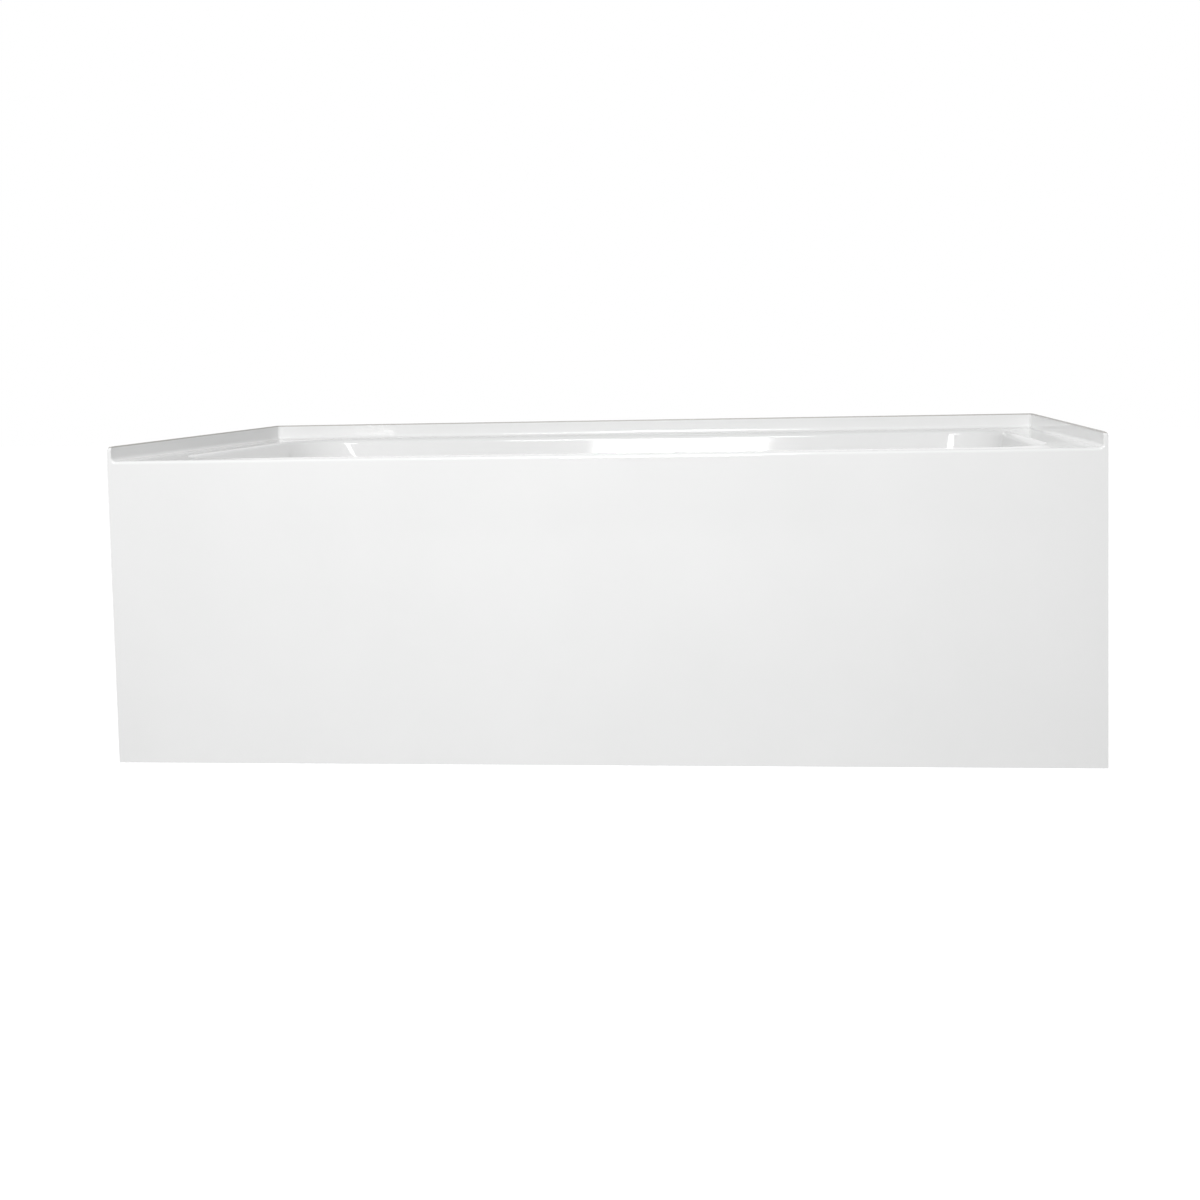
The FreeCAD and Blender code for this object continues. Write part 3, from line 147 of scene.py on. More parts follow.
def addGroup(tree, name, place=(0, 0), values=None):
    return addNode(tree, "Group", place, values, node_tree=groups[name]).outputs[0]


def addCloud(tree, point, scale, detail=3.0, span=(0.0, 1.0), place=(0, 0)):
    # the cloud at its own scale and detail, between the two ends of the span
    return addGroup(tree, "cloud", place, {
        "Vector": point, "Scale": scale, "Detail": detail, "Low": span[0], "High": span[1]})


def newMaterial(name, **fixed):
    # fixed values go straight on the shader's own sockets; point is the Object coordinates
    material = bpy.data.materials.new(name)
    material.use_nodes = True
    tree = material.node_tree
    shader = tree.nodes["Principled BSDF"]
    for key, value in fixed.items():
        shader.inputs[key.replace("_", " ")].default_value = value
    point = addNode(tree, "TexCoord", (-1200, 0)).outputs["Object"]
    return material, tree, shader.inputs, point


def mixColour(tree, mask, first, second, place=(0, 0)):
    # sockets 6 and 7 are the Mix node's two colours, and output 2 is their mix
    values = {0: mask}
    for key, colour in ((6, first), (7, second)):
        values[key] = colour if isinstance(colour, bpy.types.NodeSocket) else (*colour, 1.0)
    return addNode(tree, "Mix", place, values, data_type="RGBA").outputs[2]


def bump(tree, height, strength, distance, place=(-200, -300), under=None):
    values = {"Height": height, "Strength": strength, "Distance": distance}
    if under is not None:
        values["Normal"] = under
    return addNode(tree, "Bump", place, values).outputs["Normal"]


# white sanitary acrylic: near-even colour, a faint long waviness from the mould and a hard gloss;
# heights and depths are in metres
acrylic = {
    "colour": (0.925, 0.927, 0.925), "shade": (0.905, 0.908, 0.905), "shadeScale": 5.0,
    "roughness": (0.055, 0.085), "polishScale": 22.0,
    "index": 1.49, "coat": 0.1, "coatRoughness": 0.03,
    "wave": 0.0004, "waveScale": 4.0, "waveStrength": 0.35,
    "peel": 0.000008, "peelScale": 420.0, "peelStrength": 0.5,
    # the next values give a darker, duller band painted into the colour along the flange's top
    "darkTop": (0.50, 0.485, 0.46), "darkTopRoughness": 0.4,
    "darkTopHeight": 0.5015, "darkTopFall": 0.00615, "darkTopDepth": 0.0026,
}


def makeAcrylic():
    material, tree, shader, point = newMaterial(
        "sanitaryAcrylic", IOR=acrylic["index"], Coat_Weight=acrylic["coat"],
        Coat_Roughness=acrylic["coatRoughness"])
    body = addCloud(tree, point, acrylic["shadeScale"], 6.0, place=(-700, 200))
    # the tiling flange's top is painted a little darker and made duller over a thin band: height
    # less the fall to the front, from the band's depth under the top to half of that
    apart = addNode(tree, "SeparateXYZ", (-1100, 400), {"Vector": point}).outputs
    fall = mathNode(tree, "MULTIPLY", apart["Y"], acrylic["darkTopFall"], (-950, 400))
    level = mathNode(tree, "SUBTRACT", apart["Z"], fall, (-800, 400))
    band = (acrylic["darkTopHeight"] - acrylic["darkTopDepth"],
            acrylic["darkTopHeight"] - acrylic["darkTopDepth"] / 2)
    darkTop = stretch(tree, level, band, place=(-650, 400))
    colour = mixColour(tree, body, acrylic["colour"], acrylic["shade"], (-400, 200))
    tree.links.new(mixColour(tree, darkTop, colour, acrylic["darkTop"], (-200, 300)),
                   shader["Base Color"])
    polish = addCloud(tree, point, acrylic["polishScale"], 8.0, acrylic["roughness"], (-700, 0))
    tree.links.new(stretch(tree, darkTop, span=(polish, acrylic["darkTopRoughness"]), place=(-300, 0)),
                   shader["Roughness"])
    long = addCloud(tree, point, acrylic["waveScale"], 1.0, place=(-900, -300))
    fine = addCloud(tree, point, acrylic["peelScale"], 2.0, place=(-900, -500))
    wavy = bump(tree, long, acrylic["waveStrength"], acrylic["wave"], (-500, -300))
    tree.links.new(bump(tree, fine, acrylic["peelStrength"], acrylic["peel"], (-250, -300), wavy),
                   shader["Normal"])
    return material


# chopped strand laminate: milky resin over short crossed fibres, rolled by hand; ends is how
# ragged the change from one plane to another is, and under how level a surface counts as bottom
laminate = {
    "resin": (0.74, 0.70, 0.56), "strand": (0.86, 0.84, 0.75), "index": 1.52,
    "strands": 270.0, "length": 14.0, "turns": (0.35, 1.4, 2.5), "step": (0.37, 0.11, 0.23),
    "ends": 0.12, "endScale": 60.0, "under": 0.7,
    "roughness": (0.44, 0.54), "roughScale": 45.0, "depth": 0.0006, "strength": 0.6,
}


def makeLaminate():
    material, tree, shader, point = newMaterial("choppedStrand", IOR=laminate["index"])
    # the strands lie flat in the plane that the surface faces most: side, end or bottom
    normal = addNode(tree, "NewGeometry", (-2400, 300)).outputs["Normal"]
    facing = addNode(tree, "VectorMath", (-2200, 300), {0: normal}, operation="ABSOLUTE")
    faced = addNode(tree, "SeparateXYZ", (-2050, 300), {0: facing.outputs[0]}).outputs
    spot = addNode(tree, "SeparateXYZ", (-2050, 0), {0: point}).outputs
    ragged = addCloud(tree, point, laminate["endScale"], 2.0,
                      (-laminate["ends"], laminate["ends"]), (-2200, 500))
    endways = mathNode(tree, "ADD", faced["X"], ragged, (-1900, 400))
    atEnd = mathNode(tree, "GREATER_THAN", endways, faced["Y"], (-1750, 400))
    level = mathNode(tree, "ADD", faced["Z"], ragged, (-1900, 200))
    under = mathNode(tree, "GREATER_THAN", level, laminate["under"], (-1750, 200))
    along = stretch(tree, atEnd, span=(spot["X"], spot["Y"]), place=(-1600, 300))
    first = stretch(tree, under, span=(along, spot["X"]), place=(-1450, 300))
    second = stretch(tree, under, span=(spot["Z"], spot["Y"]), place=(-1450, 0))
    layer = mathNode(tree, "ADD", atEnd, under, (-1450, -200))
    plane = addNode(tree, "CombineXYZ", (-1300, 200), {"X": first, "Y": second, "Z": layer})
    acrossStep, upStep, layerStep = laminate["step"]
    crossed = []
    for index, turned in enumerate(laminate["turns"]):
        spun = addNode(tree, "Mapping", (-1000, 250 * index - 300), {
            "Vector": plane.outputs[0], "Rotation": (0.0, 0.0, turned),
            "Location": (acrossStep * index, upStep, layerStep * index)}).outputs[0]
        crossed.append(addGroup(tree, "streaks", (-800, 250 * index - 300), {
            "Vector": spun, "Scale": laminate["strands"], "Length": laminate["length"]}))
    most = mathNode(tree, "MAXIMUM", crossed[0], crossed[1], (-550, 0))
    mat = mathNode(tree, "MAXIMUM", most, crossed[2], (-400, 0))
    tree.links.new(mixColour(tree, mat, laminate["resin"], laminate["strand"], (-200, 200)),
                   shader["Base Color"])
    tree.links.new(addCloud(tree, point, laminate["roughScale"], 5.0, laminate["roughness"],
                            (-700, 500)), shader["Roughness"])
    tree.links.new(bump(tree, mat, laminate["strength"], laminate["depth"], (-200, -200)),
                   shader["Normal"])
    return material


# sawn softwood: rings stretched along the piece's length, with fine fibres raised by the saw
wood = {
    "early": (0.66, 0.47, 0.27), "late": (0.45, 0.27, 0.13), "index": 1.45,
    "rings": 10.0, "bend": 3.0, "distortion": 5.0, "ringDetail": 3.0, "ringDetailScale": 0.6,
    "fibres": 260.0, "fibreLength": 30.0, "fibreShare": 0.35,
    "roughness": (0.62, 0.85), "roughScale": 80.0, "depth": 0.0003, "strength": 0.5,
}


def makeTimber():
    material, tree, shader, point = newMaterial("sawnSoftwood", IOR=wood["index"])
    bend = addCloud(tree, point, wood["bend"], 2.0, place=(-850, 300))
    grain = addNode(tree, "TexWave", (-600, 200), {
        "Vector": point, "Scale": wood["rings"], "Distortion": wood["distortion"],
        "Detail": wood["ringDetail"], "Detail Scale": wood["ringDetailScale"]},
        bands_direction="Z").outputs["Fac"]
    fibre = addGroup(tree, "streaks", (-600, 0), {
        "Vector": point, "Scale": wood["fibres"], "Length": wood["fibreLength"]})
    rings = mathNode(tree, "MULTIPLY", grain, bend, (-400, 250))
    mask = mathNode(tree, "MULTIPLY_ADD", fibre, wood["fibreShare"], (-250, 150))
    tree.links.new(rings, mask.node.inputs[2])
    tree.links.new(mixColour(tree, mask, wood["early"], wood["late"], (-50, 200)),
                   shader["Base Color"])
    tree.links.new(addCloud(tree, point, wood["roughScale"], 4.0, wood["roughness"],
                            (-600, -200)), shader["Roughness"])
    tree.links.new(bump(tree, fibre, wood["strength"], wood["depth"], (-200, -300)),
                   shader["Normal"])
    return material


# particle board: pale chips pressed flat, closed skin with darker flecks
board = {
    "chip": (0.62, 0.47, 0.29), "fleck": (0.36, 0.25, 0.14), "chips": 260.0, "patches": 12.0,
    "index": 1.45, "roughness": (0.55, 0.8), "roughScale": 90.0, "depth": 0.0002,
    "strength": 0.35,
}


def makeBoard():
    material, tree, shader, point = newMaterial("particleBoard", IOR=board["index"])
    cells = addNode(tree, "TexVoronoi", (-700, 100), {"Vector": point, "Scale": board["chips"]})
    tone = addNode(tree, "SeparateColor", (-500, 100), {0: cells.outputs["Color"]}).outputs[0]
    patch = addCloud(tree, point, board["patches"], place=(-700, -100))
    mask = mathNode(tree, "MULTIPLY", tone, patch, (-350, 50))
    tree.links.new(mixColour(tree, mask, board["chip"], board["fleck"], (-150, 150)),
                   shader["Base Color"])
    tree.links.new(addCloud(tree, point, board["roughScale"], span=board["roughness"],
                            place=(-700, -300)), shader["Roughness"])
    tree.links.new(bump(tree, tone, board["strength"], board["depth"], (-150, -200)),
                   shader["Normal"])
    return material


# galvanised steel: a zinc spangle of flat crystals, each with its own tone and gloss
zinc = {
    "bright": (0.72, 0.74, 0.76), "dull": (0.50, 0.52, 0.54), "crystals": 90.0,
    "dirt": (0.36, 0.34, 0.31), "dirtAmount": 0.35, "roughness": (0.3, 0.55),
    "grainScale": 300.0, "depth": 0.00008, "strength": 0.3,
}


def makeZinc():
    material, tree, shader, point = newMaterial("galvanised", Metallic=1.0)
    crystal = addNode(tree, "TexVoronoi", (-800, 100), {
        "Vector": point, "Scale": zinc["crystals"]})
    tone = addNode(tree, "SeparateColor", (-600, 100), {0: crystal.outputs["Color"]}).outputs[0]
    dirt = addGroup(tree, "dust", (-600, 350), {"Vector": point, "Amount": zinc["dirtAmount"]})
    metal = mixColour(tree, tone, zinc["bright"], zinc["dull"], (-400, 200))
    tree.links.new(mixColour(tree, dirt, metal, zinc["dirt"], (-150, 250)),
                   shader["Base Color"])
    tree.links.new(stretch(tree, tone, span=zinc["roughness"], place=(-400, 0)),
                   shader["Roughness"])
    fine = addCloud(tree, point, zinc["grainScale"], 4.0, place=(-600, -250))
    tree.links.new(bump(tree, fine, zinc["strength"], zinc["depth"], (-150, -200)),
                   shader["Normal"])
    return material


# turned or plated metals: polish lines and a little handling haze
metals = {
    "chromePlate": {"bright": (0.80, 0.81, 0.82), "dull": (0.70, 0.71, 0.72),
                    "gloss": (0.05, 0.13), "depth": 0.00001},
    "rawBrass": {"bright": (0.83, 0.64, 0.31), "dull": (0.55, 0.38, 0.16),
                 "gloss": (0.22, 0.42), "depth": 0.00005},
    "springSteel": {"bright": (0.58, 0.58, 0.58), "dull": (0.33, 0.32, 0.31),
                    "gloss": (0.2, 0.38), "depth": 0.00003},
    "all": {"hazeScale": 55.0, "glossScale": 120.0, "lines": 900.0, "lineLength": 40.0,
            "strength": 0.4},
}


def makeMetal(name):
    values = {**metals["all"], **metals[name]}
    material, tree, shader, point = newMaterial(name, Metallic=1.0)
    haze = addCloud(tree, point, values["hazeScale"], 6.0, place=(-700, 200))
    tree.links.new(mixColour(tree, haze, values["bright"], values["dull"], (-350, 250)),
                   shader["Base Color"])
    tree.links.new(addCloud(tree, point, values["glossScale"], 8.0, values["gloss"], (-700, 0)),
                   shader["Roughness"])
    lines = addGroup(tree, "streaks", (-700, -250), {
        "Vector": point, "Scale": values["lines"], "Length": values["lineLength"]})
    tree.links.new(bump(tree, lines, values["strength"], values["depth"], (-250, -250)),
                   shader["Normal"])
    return material


# moulded rubber: dark, a bloom of pale powder on what looks up and where it was handled
rubbers = {
    "sealRubber": {"body": (0.022, 0.022, 0.023), "bloom": (0.075, 0.073, 0.070)},
    "padRubber": {"body": (0.045, 0.045, 0.047), "bloom": (0.13, 0.125, 0.12)},
    "all": {"index": 1.5, "powder": 0.6, "scuffs": 140.0, "scuffShare": 0.25,
            "roughness": (0.45, 0.7), "roughScale": 90.0, "depth": 0.00006, "strength": 0.4},
}


def makeRubber(name):
    values = {**rubbers["all"], **rubbers[name]}
    material, tree, shader, point = newMaterial(name, IOR=values["index"])
    powder = addGroup(tree, "dust", (-700, 300), {"Vector": point, "Amount": values["powder"]})
    scuff = addCloud(tree, point, values["scuffs"], 5.0, place=(-700, 100))
    both = mathNode(tree, "MULTIPLY_ADD", scuff, values["scuffShare"], (-450, 200))
    tree.links.new(powder, both.node.inputs[2])
    tree.links.new(mixColour(tree, both, values["body"], values["bloom"], (-250, 250)),
                   shader["Base Color"])
    tree.links.new(addCloud(tree, point, values["roughScale"], span=values["roughness"],
                            place=(-700, -100)), shader["Roughness"])
    tree.links.new(bump(tree, scuff, values["strength"], values["depth"], (-250, -200)),
                   shader["Normal"])
    return material


finishes = {
    "acrylic_white": makeAcrylic(),
    "fibreglass": makeLaminate(),
    "timber": makeTimber(),
    "board": makeBoard(),
    "galvanised_steel": makeZinc(),
    "chrome": makeMetal("chromePlate"),
    "brass": makeMetal("rawBrass"),
    "spring_steel": makeMetal("springSteel"),
    "black_rubber": makeRubber("sealRubber"),
    "pad_rubber": makeRubber("padRubber"),
}

for subpart in frame["record"]["subparts"]:
    node = frame["nodes"][subpart["node"]]
    node.data.materials.clear()
    node.data.materials.append(finishes[subpart["material_slot"]])
print("finishes made and given to", len(frame["nodes"]), "nodes")


# every new piece is a set of point grids in millimetres, worked out as whole arrays; weld is in
# metres, sharp in degrees, and weight is how far a large face outweighs a small one
joining = {"weld": 0.00002, "sharp": 35.0, "weight": 60}


def gridFaces(rows, columns, closed, start, flip):
    # quads between neighbouring rows and columns; closed joins the last column to the first
    here = np.arange(rows - 1)[:, None] * columns
    column = np.arange(columns if closed else columns - 1)[None, :]
    beside = (column + 1) % columns
    corners = np.broadcast_arrays(
        here + column, here + beside, here + columns + beside, here + columns + column)
    quads = np.stack(corners, -1).reshape(-1, 4) + start
    return quads[:, ::-1] if flip else quads


def closeSeams(work, weld):
    # an open edge that runs past other open points is split at them, so that both sides of a seam
    # share every point; a share is a point's distance along the edge over the edge's length. What
    # is still open then, the ledge under each rounded end of the flange, is filled
    rim = [edge for edge in work.edges if edge.is_boundary]
    points = {vert.index: vert.co.copy() for edge in rim for vert in edge.verts}
    spots = np.array(list(points.values())).reshape(-1, 3)
    for edge in rim:
        start = edge.verts[0]
        first, way = np.array(start.co), np.array(edge.verts[1].co - start.co)
        shares = (spots - first) @ way / (way @ way)
        off = np.linalg.norm(spots - first - shares[:, None] * way, axis=1)
        margin = weld / np.linalg.norm(way)
        inner = shares[(off < weld) & (shares > margin) & (shares < 1 - margin)]
        done = 0.0
        for part in np.unique(inner.round(6)):
            start = bmesh.utils.edge_split(edge, start, (part - done) / (1 - done))[1]
            done = part
    bmesh.ops.remove_doubles(work, verts=work.verts, dist=weld)
    bmesh.ops.holes_fill(work, edges=[edge for edge in work.edges if edge.is_boundary], sides=0)


def makeMesh(name, grids, caps=()):
    # grids: (rows x columns x 3 points, closed round the columns, faces turned over); caps: the
    # outlines of flat ends
    weld = joining["weld"]
    points, faces, start = [], [], 0
    for grid, closed, flip in grids:
        rows, columns = grid.shape[:2]
        points.append(grid.reshape(-1, 3))
        faces.append(gridFaces(rows, columns, closed, start, flip))
        start += rows * columns
    faces = np.concatenate(faces).tolist()
    for cap in caps:
        points.append(cap)
        faces.append(list(range(start, start + len(cap))))
        start += len(cap)
    mesh = bpy.data.meshes.new(name)
    mesh.from_pydata((np.concatenate(points) * 0.001).tolist(), [], faces)
    work = bmesh.new()
    work.from_mesh(mesh)
    bmesh.ops.remove_doubles(work, verts=work.verts, dist=weld)
    bmesh.ops.dissolve_degenerate(work, edges=work.edges, dist=weld / 4)
    closeSeams(work, weld)
    bmesh.ops.recalc_face_normals(work, faces=work.faces)
    work.to_mesh(mesh)
    work.free()
    return mesh


def makePiece(name, mesh, finish, body, sharp=joining["sharp"]):
    mesh.shade_smooth()
    mesh.set_sharp_from_angle(angle=math.radians(sharp))
    mesh.materials.clear()
    mesh.materials.append(finishes[finish])
    piece = bpy.data.objects.new(name, mesh)
    bpy.context.scene.collection.objects.link(piece)
    even = piece.modifiers.new("evenNormals", "WEIGHTED_NORMAL")
    even.keep_sharp = True
    even.weight = joining["weight"]
    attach(piece, body)
    return piece


# the moulded tub, in millimetres and degrees, and the rows and columns of its grids
tub = {
    "halfLength": 762.0, "front": -406.5, "back": 406.5, "deck": 476.0, "floor": 100.0,
    "sheet": 5.0,
    "rimLeft": -690.0, "rimRight": 685.0, "rimSide": 348.5,
    "backrest": 28.0, "side": 7.0, "wasteEnd": 6.0, "swell": 12.0,
    "leftCorner": 120.0, "rightCorner": 100.0, "rimRound": 12.0, "floorRound": 70.0,
    "fall": 0.3, "drainX": 530.0, "drainHole": 24.0, "drainSeat": 8.0,
    "well": 42.0, "wellDepth": 3.0, "wellLip": 1.5, "wellEase": 0.4, "wellFoot": 1.0,
    "flange": 28.0, "droop": 5.0, "wall": 7.0, "cove": 6.0, "topRound": 4.0, "innerRound": 1.2,
    "lipDrop": 24.0, "lipRound": 5.0, "lipEase": 0.8, "endRound": 2.0, "endCorner": 7.0,
    "outerShare": 0.3,                                 # of the end round, on the outer face
    "arcSteps": 24, "sideSteps": 12, "longSteps": 30, "rimSteps": 13, "wallSteps": 15,
    "footSteps": 17, "noseSteps": 9, "sectionSteps": 11, "cornerSteps": 13,
}


def loopParts():
    # one turn of the basin's outline: each corner, then the side that follows it; gives for each
    # sample its corner's number, whether it is on the side, and how far along that it is
    arc = np.arange(tub["arcSteps"]) / tub["arcSteps"]
    parts = []
    for corner, steps in enumerate((tub["sideSteps"], tub["longSteps"]) * 2):
        parts.append((corner, 0, arc))
        parts.append((corner, 1, np.arange(steps) / steps))
    corners = np.concatenate([np.full(len(along), corner) for corner, kind, along in parts])
    straight = np.concatenate([np.full(len(along), kind) for corner, kind, along in parts])
    share = np.concatenate([along for corner, kind, along in parts])
    return corners, straight, share


# turn is each sample's outward direction round the outline, and inward the way across it
corners, straight, share = loopParts()
turn = np.radians(-90.0 + 90.0 * corners + 90.0 * np.where(straight == 1, 1.0, share))
inward = -np.stack([np.cos(turn), np.sin(turn)], -1)


def basinPlan(depth):
    # rounded rectangle whose ends move in with depth: the backrest by its slope and a half sine
    # swell, the waste end and the sides by their draft. Rows are depths, columns samples
    depth = np.broadcast_to(np.asarray(depth, float), (np.shape(depth)[0], len(turn)))
    whole = tub["deck"] - tub["floor"]
    swell = tub["swell"] * np.sin(math.pi * np.clip(depth / whole, 0.0, 1.0))
    left = tub["rimLeft"] + depth * math.tan(math.radians(tub["backrest"])) + swell
    right = tub["rimRight"] - depth * math.tan(math.radians(tub["wasteEnd"]))
    side = tub["rimSide"] - depth * math.tan(math.radians(tub["side"]))
    rightRound, leftRound = tub["rightCorner"], tub["leftCorner"]
    x = np.stack([right - rightRound, right - rightRound, left + leftRound, left + leftRound], 0)
    y = np.stack([rightRound - side, side - rightRound, side - leftRound, leftRound - side], 0)
    radius = np.array([rightRound, rightRound, leftRound, leftRound])
    column = np.arange(len(turn))[None, :]
    row = np.arange(depth.shape[0])[:, None]
    following = (corners + 1) % 4
    here = np.stack([x[corners[None, :], row, column], y[corners[None, :], row, column]], -1)
    there = np.stack([x[following[None, :], row, column], y[following[None, :], row, column]], -1)
    start = here - radius[corners][None, :, None] * inward[None]
    end = there - radius[following][None, :, None] * inward[None]
    along = np.where(straight == 1, share, 0.0)[None, :, None]
    return start + (end - start) * along


def wallSlope(depth):
    # how far the wall moves in, square to itself, between half a millimetre above and below
    above, below = basinPlan(depth - 0.5), basinPlan(depth + 0.5)
    return ((below - above) * inward[None]).sum(-1)


def withHeight(plan, depth):
    # z from depth, with the floor's fall towards the waste eased in over the lowest third by a
    # smooth step, 3 times the square less 2 times the cube
    whole = tub["deck"] - tub["floor"]
    ease = np.clip((depth / whole - 2 / 3) * 3, 0.0, 1.0)
    ease = ease * ease * (3 - 2 * ease)
    rise = (tub["drainX"] - plan[..., 0]) * math.tan(math.radians(tub["fall"])) * ease
    return np.concatenate([plan, (tub["deck"] - depth + rise)[..., None]], -1)


def basinSide(under):
    # from the deck over the rim's round, down the wall and round into the floor; under moves the
    # surface that far into the material, so that the two sides of the sheet share their centres
    columns = len(turn)
    radius = tub["rimRound"]
    rimSlope = np.arctan(wallSlope(np.full((1, columns), radius)))[0]
    centre = radius * np.tan(rimSlope) - radius / np.cos(rimSlope)
    turned = np.linspace(0.0, 1.0, tub["rimSteps"])[:, None]
    phi = math.pi / 2 + (rimSlope - math.pi / 2)[None, :] * turned
    depth = radius - (radius - under) * np.sin(phi)
    inset = centre[None, :] + (radius - under) * np.cos(phi) - depth * np.tan(rimSlope)[None, :]
    rim = withHeight(basinPlan(depth) + inset[..., None] * inward[None], depth)

    whole = tub["deck"] - tub["floor"]
    ball = tub["floorRound"]
    low = np.full((1, columns), whole - ball * 0.8)
    for again in range(6):                             # the wall's foot settles within a few turns
        lowSlope = np.arctan(wallSlope(low))
        low = whole - ball + ball * np.sin(lowSlope)
    high = depth[-1:]
    # shares of the wall's height, with one row close to each round
    steps = np.concatenate([[0.012], np.linspace(0.06, 0.94, tub["wallSteps"]), [0.985]])
    wallDepth = high + (low - high) * steps[:, None]
    wallInset = -under / np.cos(np.arctan(wallSlope(wallDepth)))
    wall = withHeight(basinPlan(wallDepth) + wallInset[..., None] * inward[None], wallDepth)

    turned = np.linspace(0.0, 1.0, tub["footSteps"])[:, None]
    psi = lowSlope + (math.pi / 2 - lowSlope) * turned
    height = ball - (ball + under) * np.sin(psi)
    reach = ball * np.cos(lowSlope) - (ball + under) * np.cos(psi)
    foot = basinPlan(low) + reach[..., None] * inward[None]
    return np.concatenate([rim, wall, withHeight(foot, whole - height)], 0)


def basinFloor(edge, under):
    # rings that close from the foot of the walls onto the well round the drain, falling evenly to
    # it, then over the well's lip, down and in to the hole. Angles are in radians
    angle = np.arctan2(edge[:, 1], edge[:, 0] - tub["drainX"])
    way = np.stack([np.cos(angle), np.sin(angle)], -1)
    centre = np.array([tub["drainX"], 0.0])
    slope = math.tan(math.radians(tub["fall"]))
    lip, ease, drop = tub["wellLip"], tub["wellEase"], tub["wellDepth"]
    wide = tub["well"] + under
    rings = []
    outer = centre + way * (wide + lip)
    for step in np.concatenate([[0.02], np.linspace(0.12, 0.88, 7), [0.97, 1.0]]):
        plan = edge[:, :2] + (outer - edge[:, :2]) * step
        z = tub["floor"] - under + (tub["drainX"] - plan[:, 0]) * slope
        rings.append(np.concatenate([plan, z[:, None]], -1))
    profile = [(wide + lip * (1 - math.sin(over)), -lip * (1 - math.cos(over)))
               for over in (0.5, 1.05, 1.57)]
    profile += [(wide - ease, -drop + ease), (wide - tub["wellFoot"], -drop)]
    profile += [(tub["drainHole"] + tub["drainSeat"], -drop), (tub["drainHole"], -drop)]
    for radius, fallen in profile:
        plan = centre + way * radius
        fade = slope * (tub["drainX"] - plan[:, 0]) * max(0.0, 1 + fallen / drop)
        rings.append(np.concatenate([plan, (tub["floor"] - under + fallen + fade)[:, None]], -1))
    return np.stack(rings, 0)


def toeLoop(frontReach, halfWide, backReach):
    # the same samples spread along a rectangle, each corner's middle sample on its corner, with
    # three knots for a corner and the side after it, and even steps between two knots
    left, right = tub["rimLeft"] + tub["leftCorner"], tub["rimRight"] - tub["rightCorner"]
    sideRight = tub["rimSide"] - tub["rightCorner"]
    sideLeft = tub["rimSide"] - tub["leftCorner"]
    knots = np.array([
        (right, frontReach), (halfWide, frontReach), (halfWide, -sideRight), (halfWide, sideRight),
        (halfWide, backReach), (right, backReach), (left, backReach), (-halfWide, backReach),
        (-halfWide, sideLeft), (-halfWide, -sideLeft), (-halfWide, frontReach), (left, frontReach),
        (right, frontReach)])
    place = corners * 3 + np.where(straight == 1, 2 + share, share * 2)
    first = np.floor(place).astype(int)
    part = (place - first)[:, None]
    return knots[first] + (knots[first + 1] - knots[first]) * part


def deckRings(rimLoop, outer, z):
    # rings at one height, each a share of the way from the rim's loop out to the outer one
    rings = []
    for step in (0.0, 0.03, 0.35, 0.7, 0.97, 1.0):
        plan = rimLoop[:, :2] + (outer - rimLoop[:, :2]) * step
        rings.append(np.concatenate([plan, np.full((len(plan), 1), z)], -1))
    return np.stack(rings, 0)


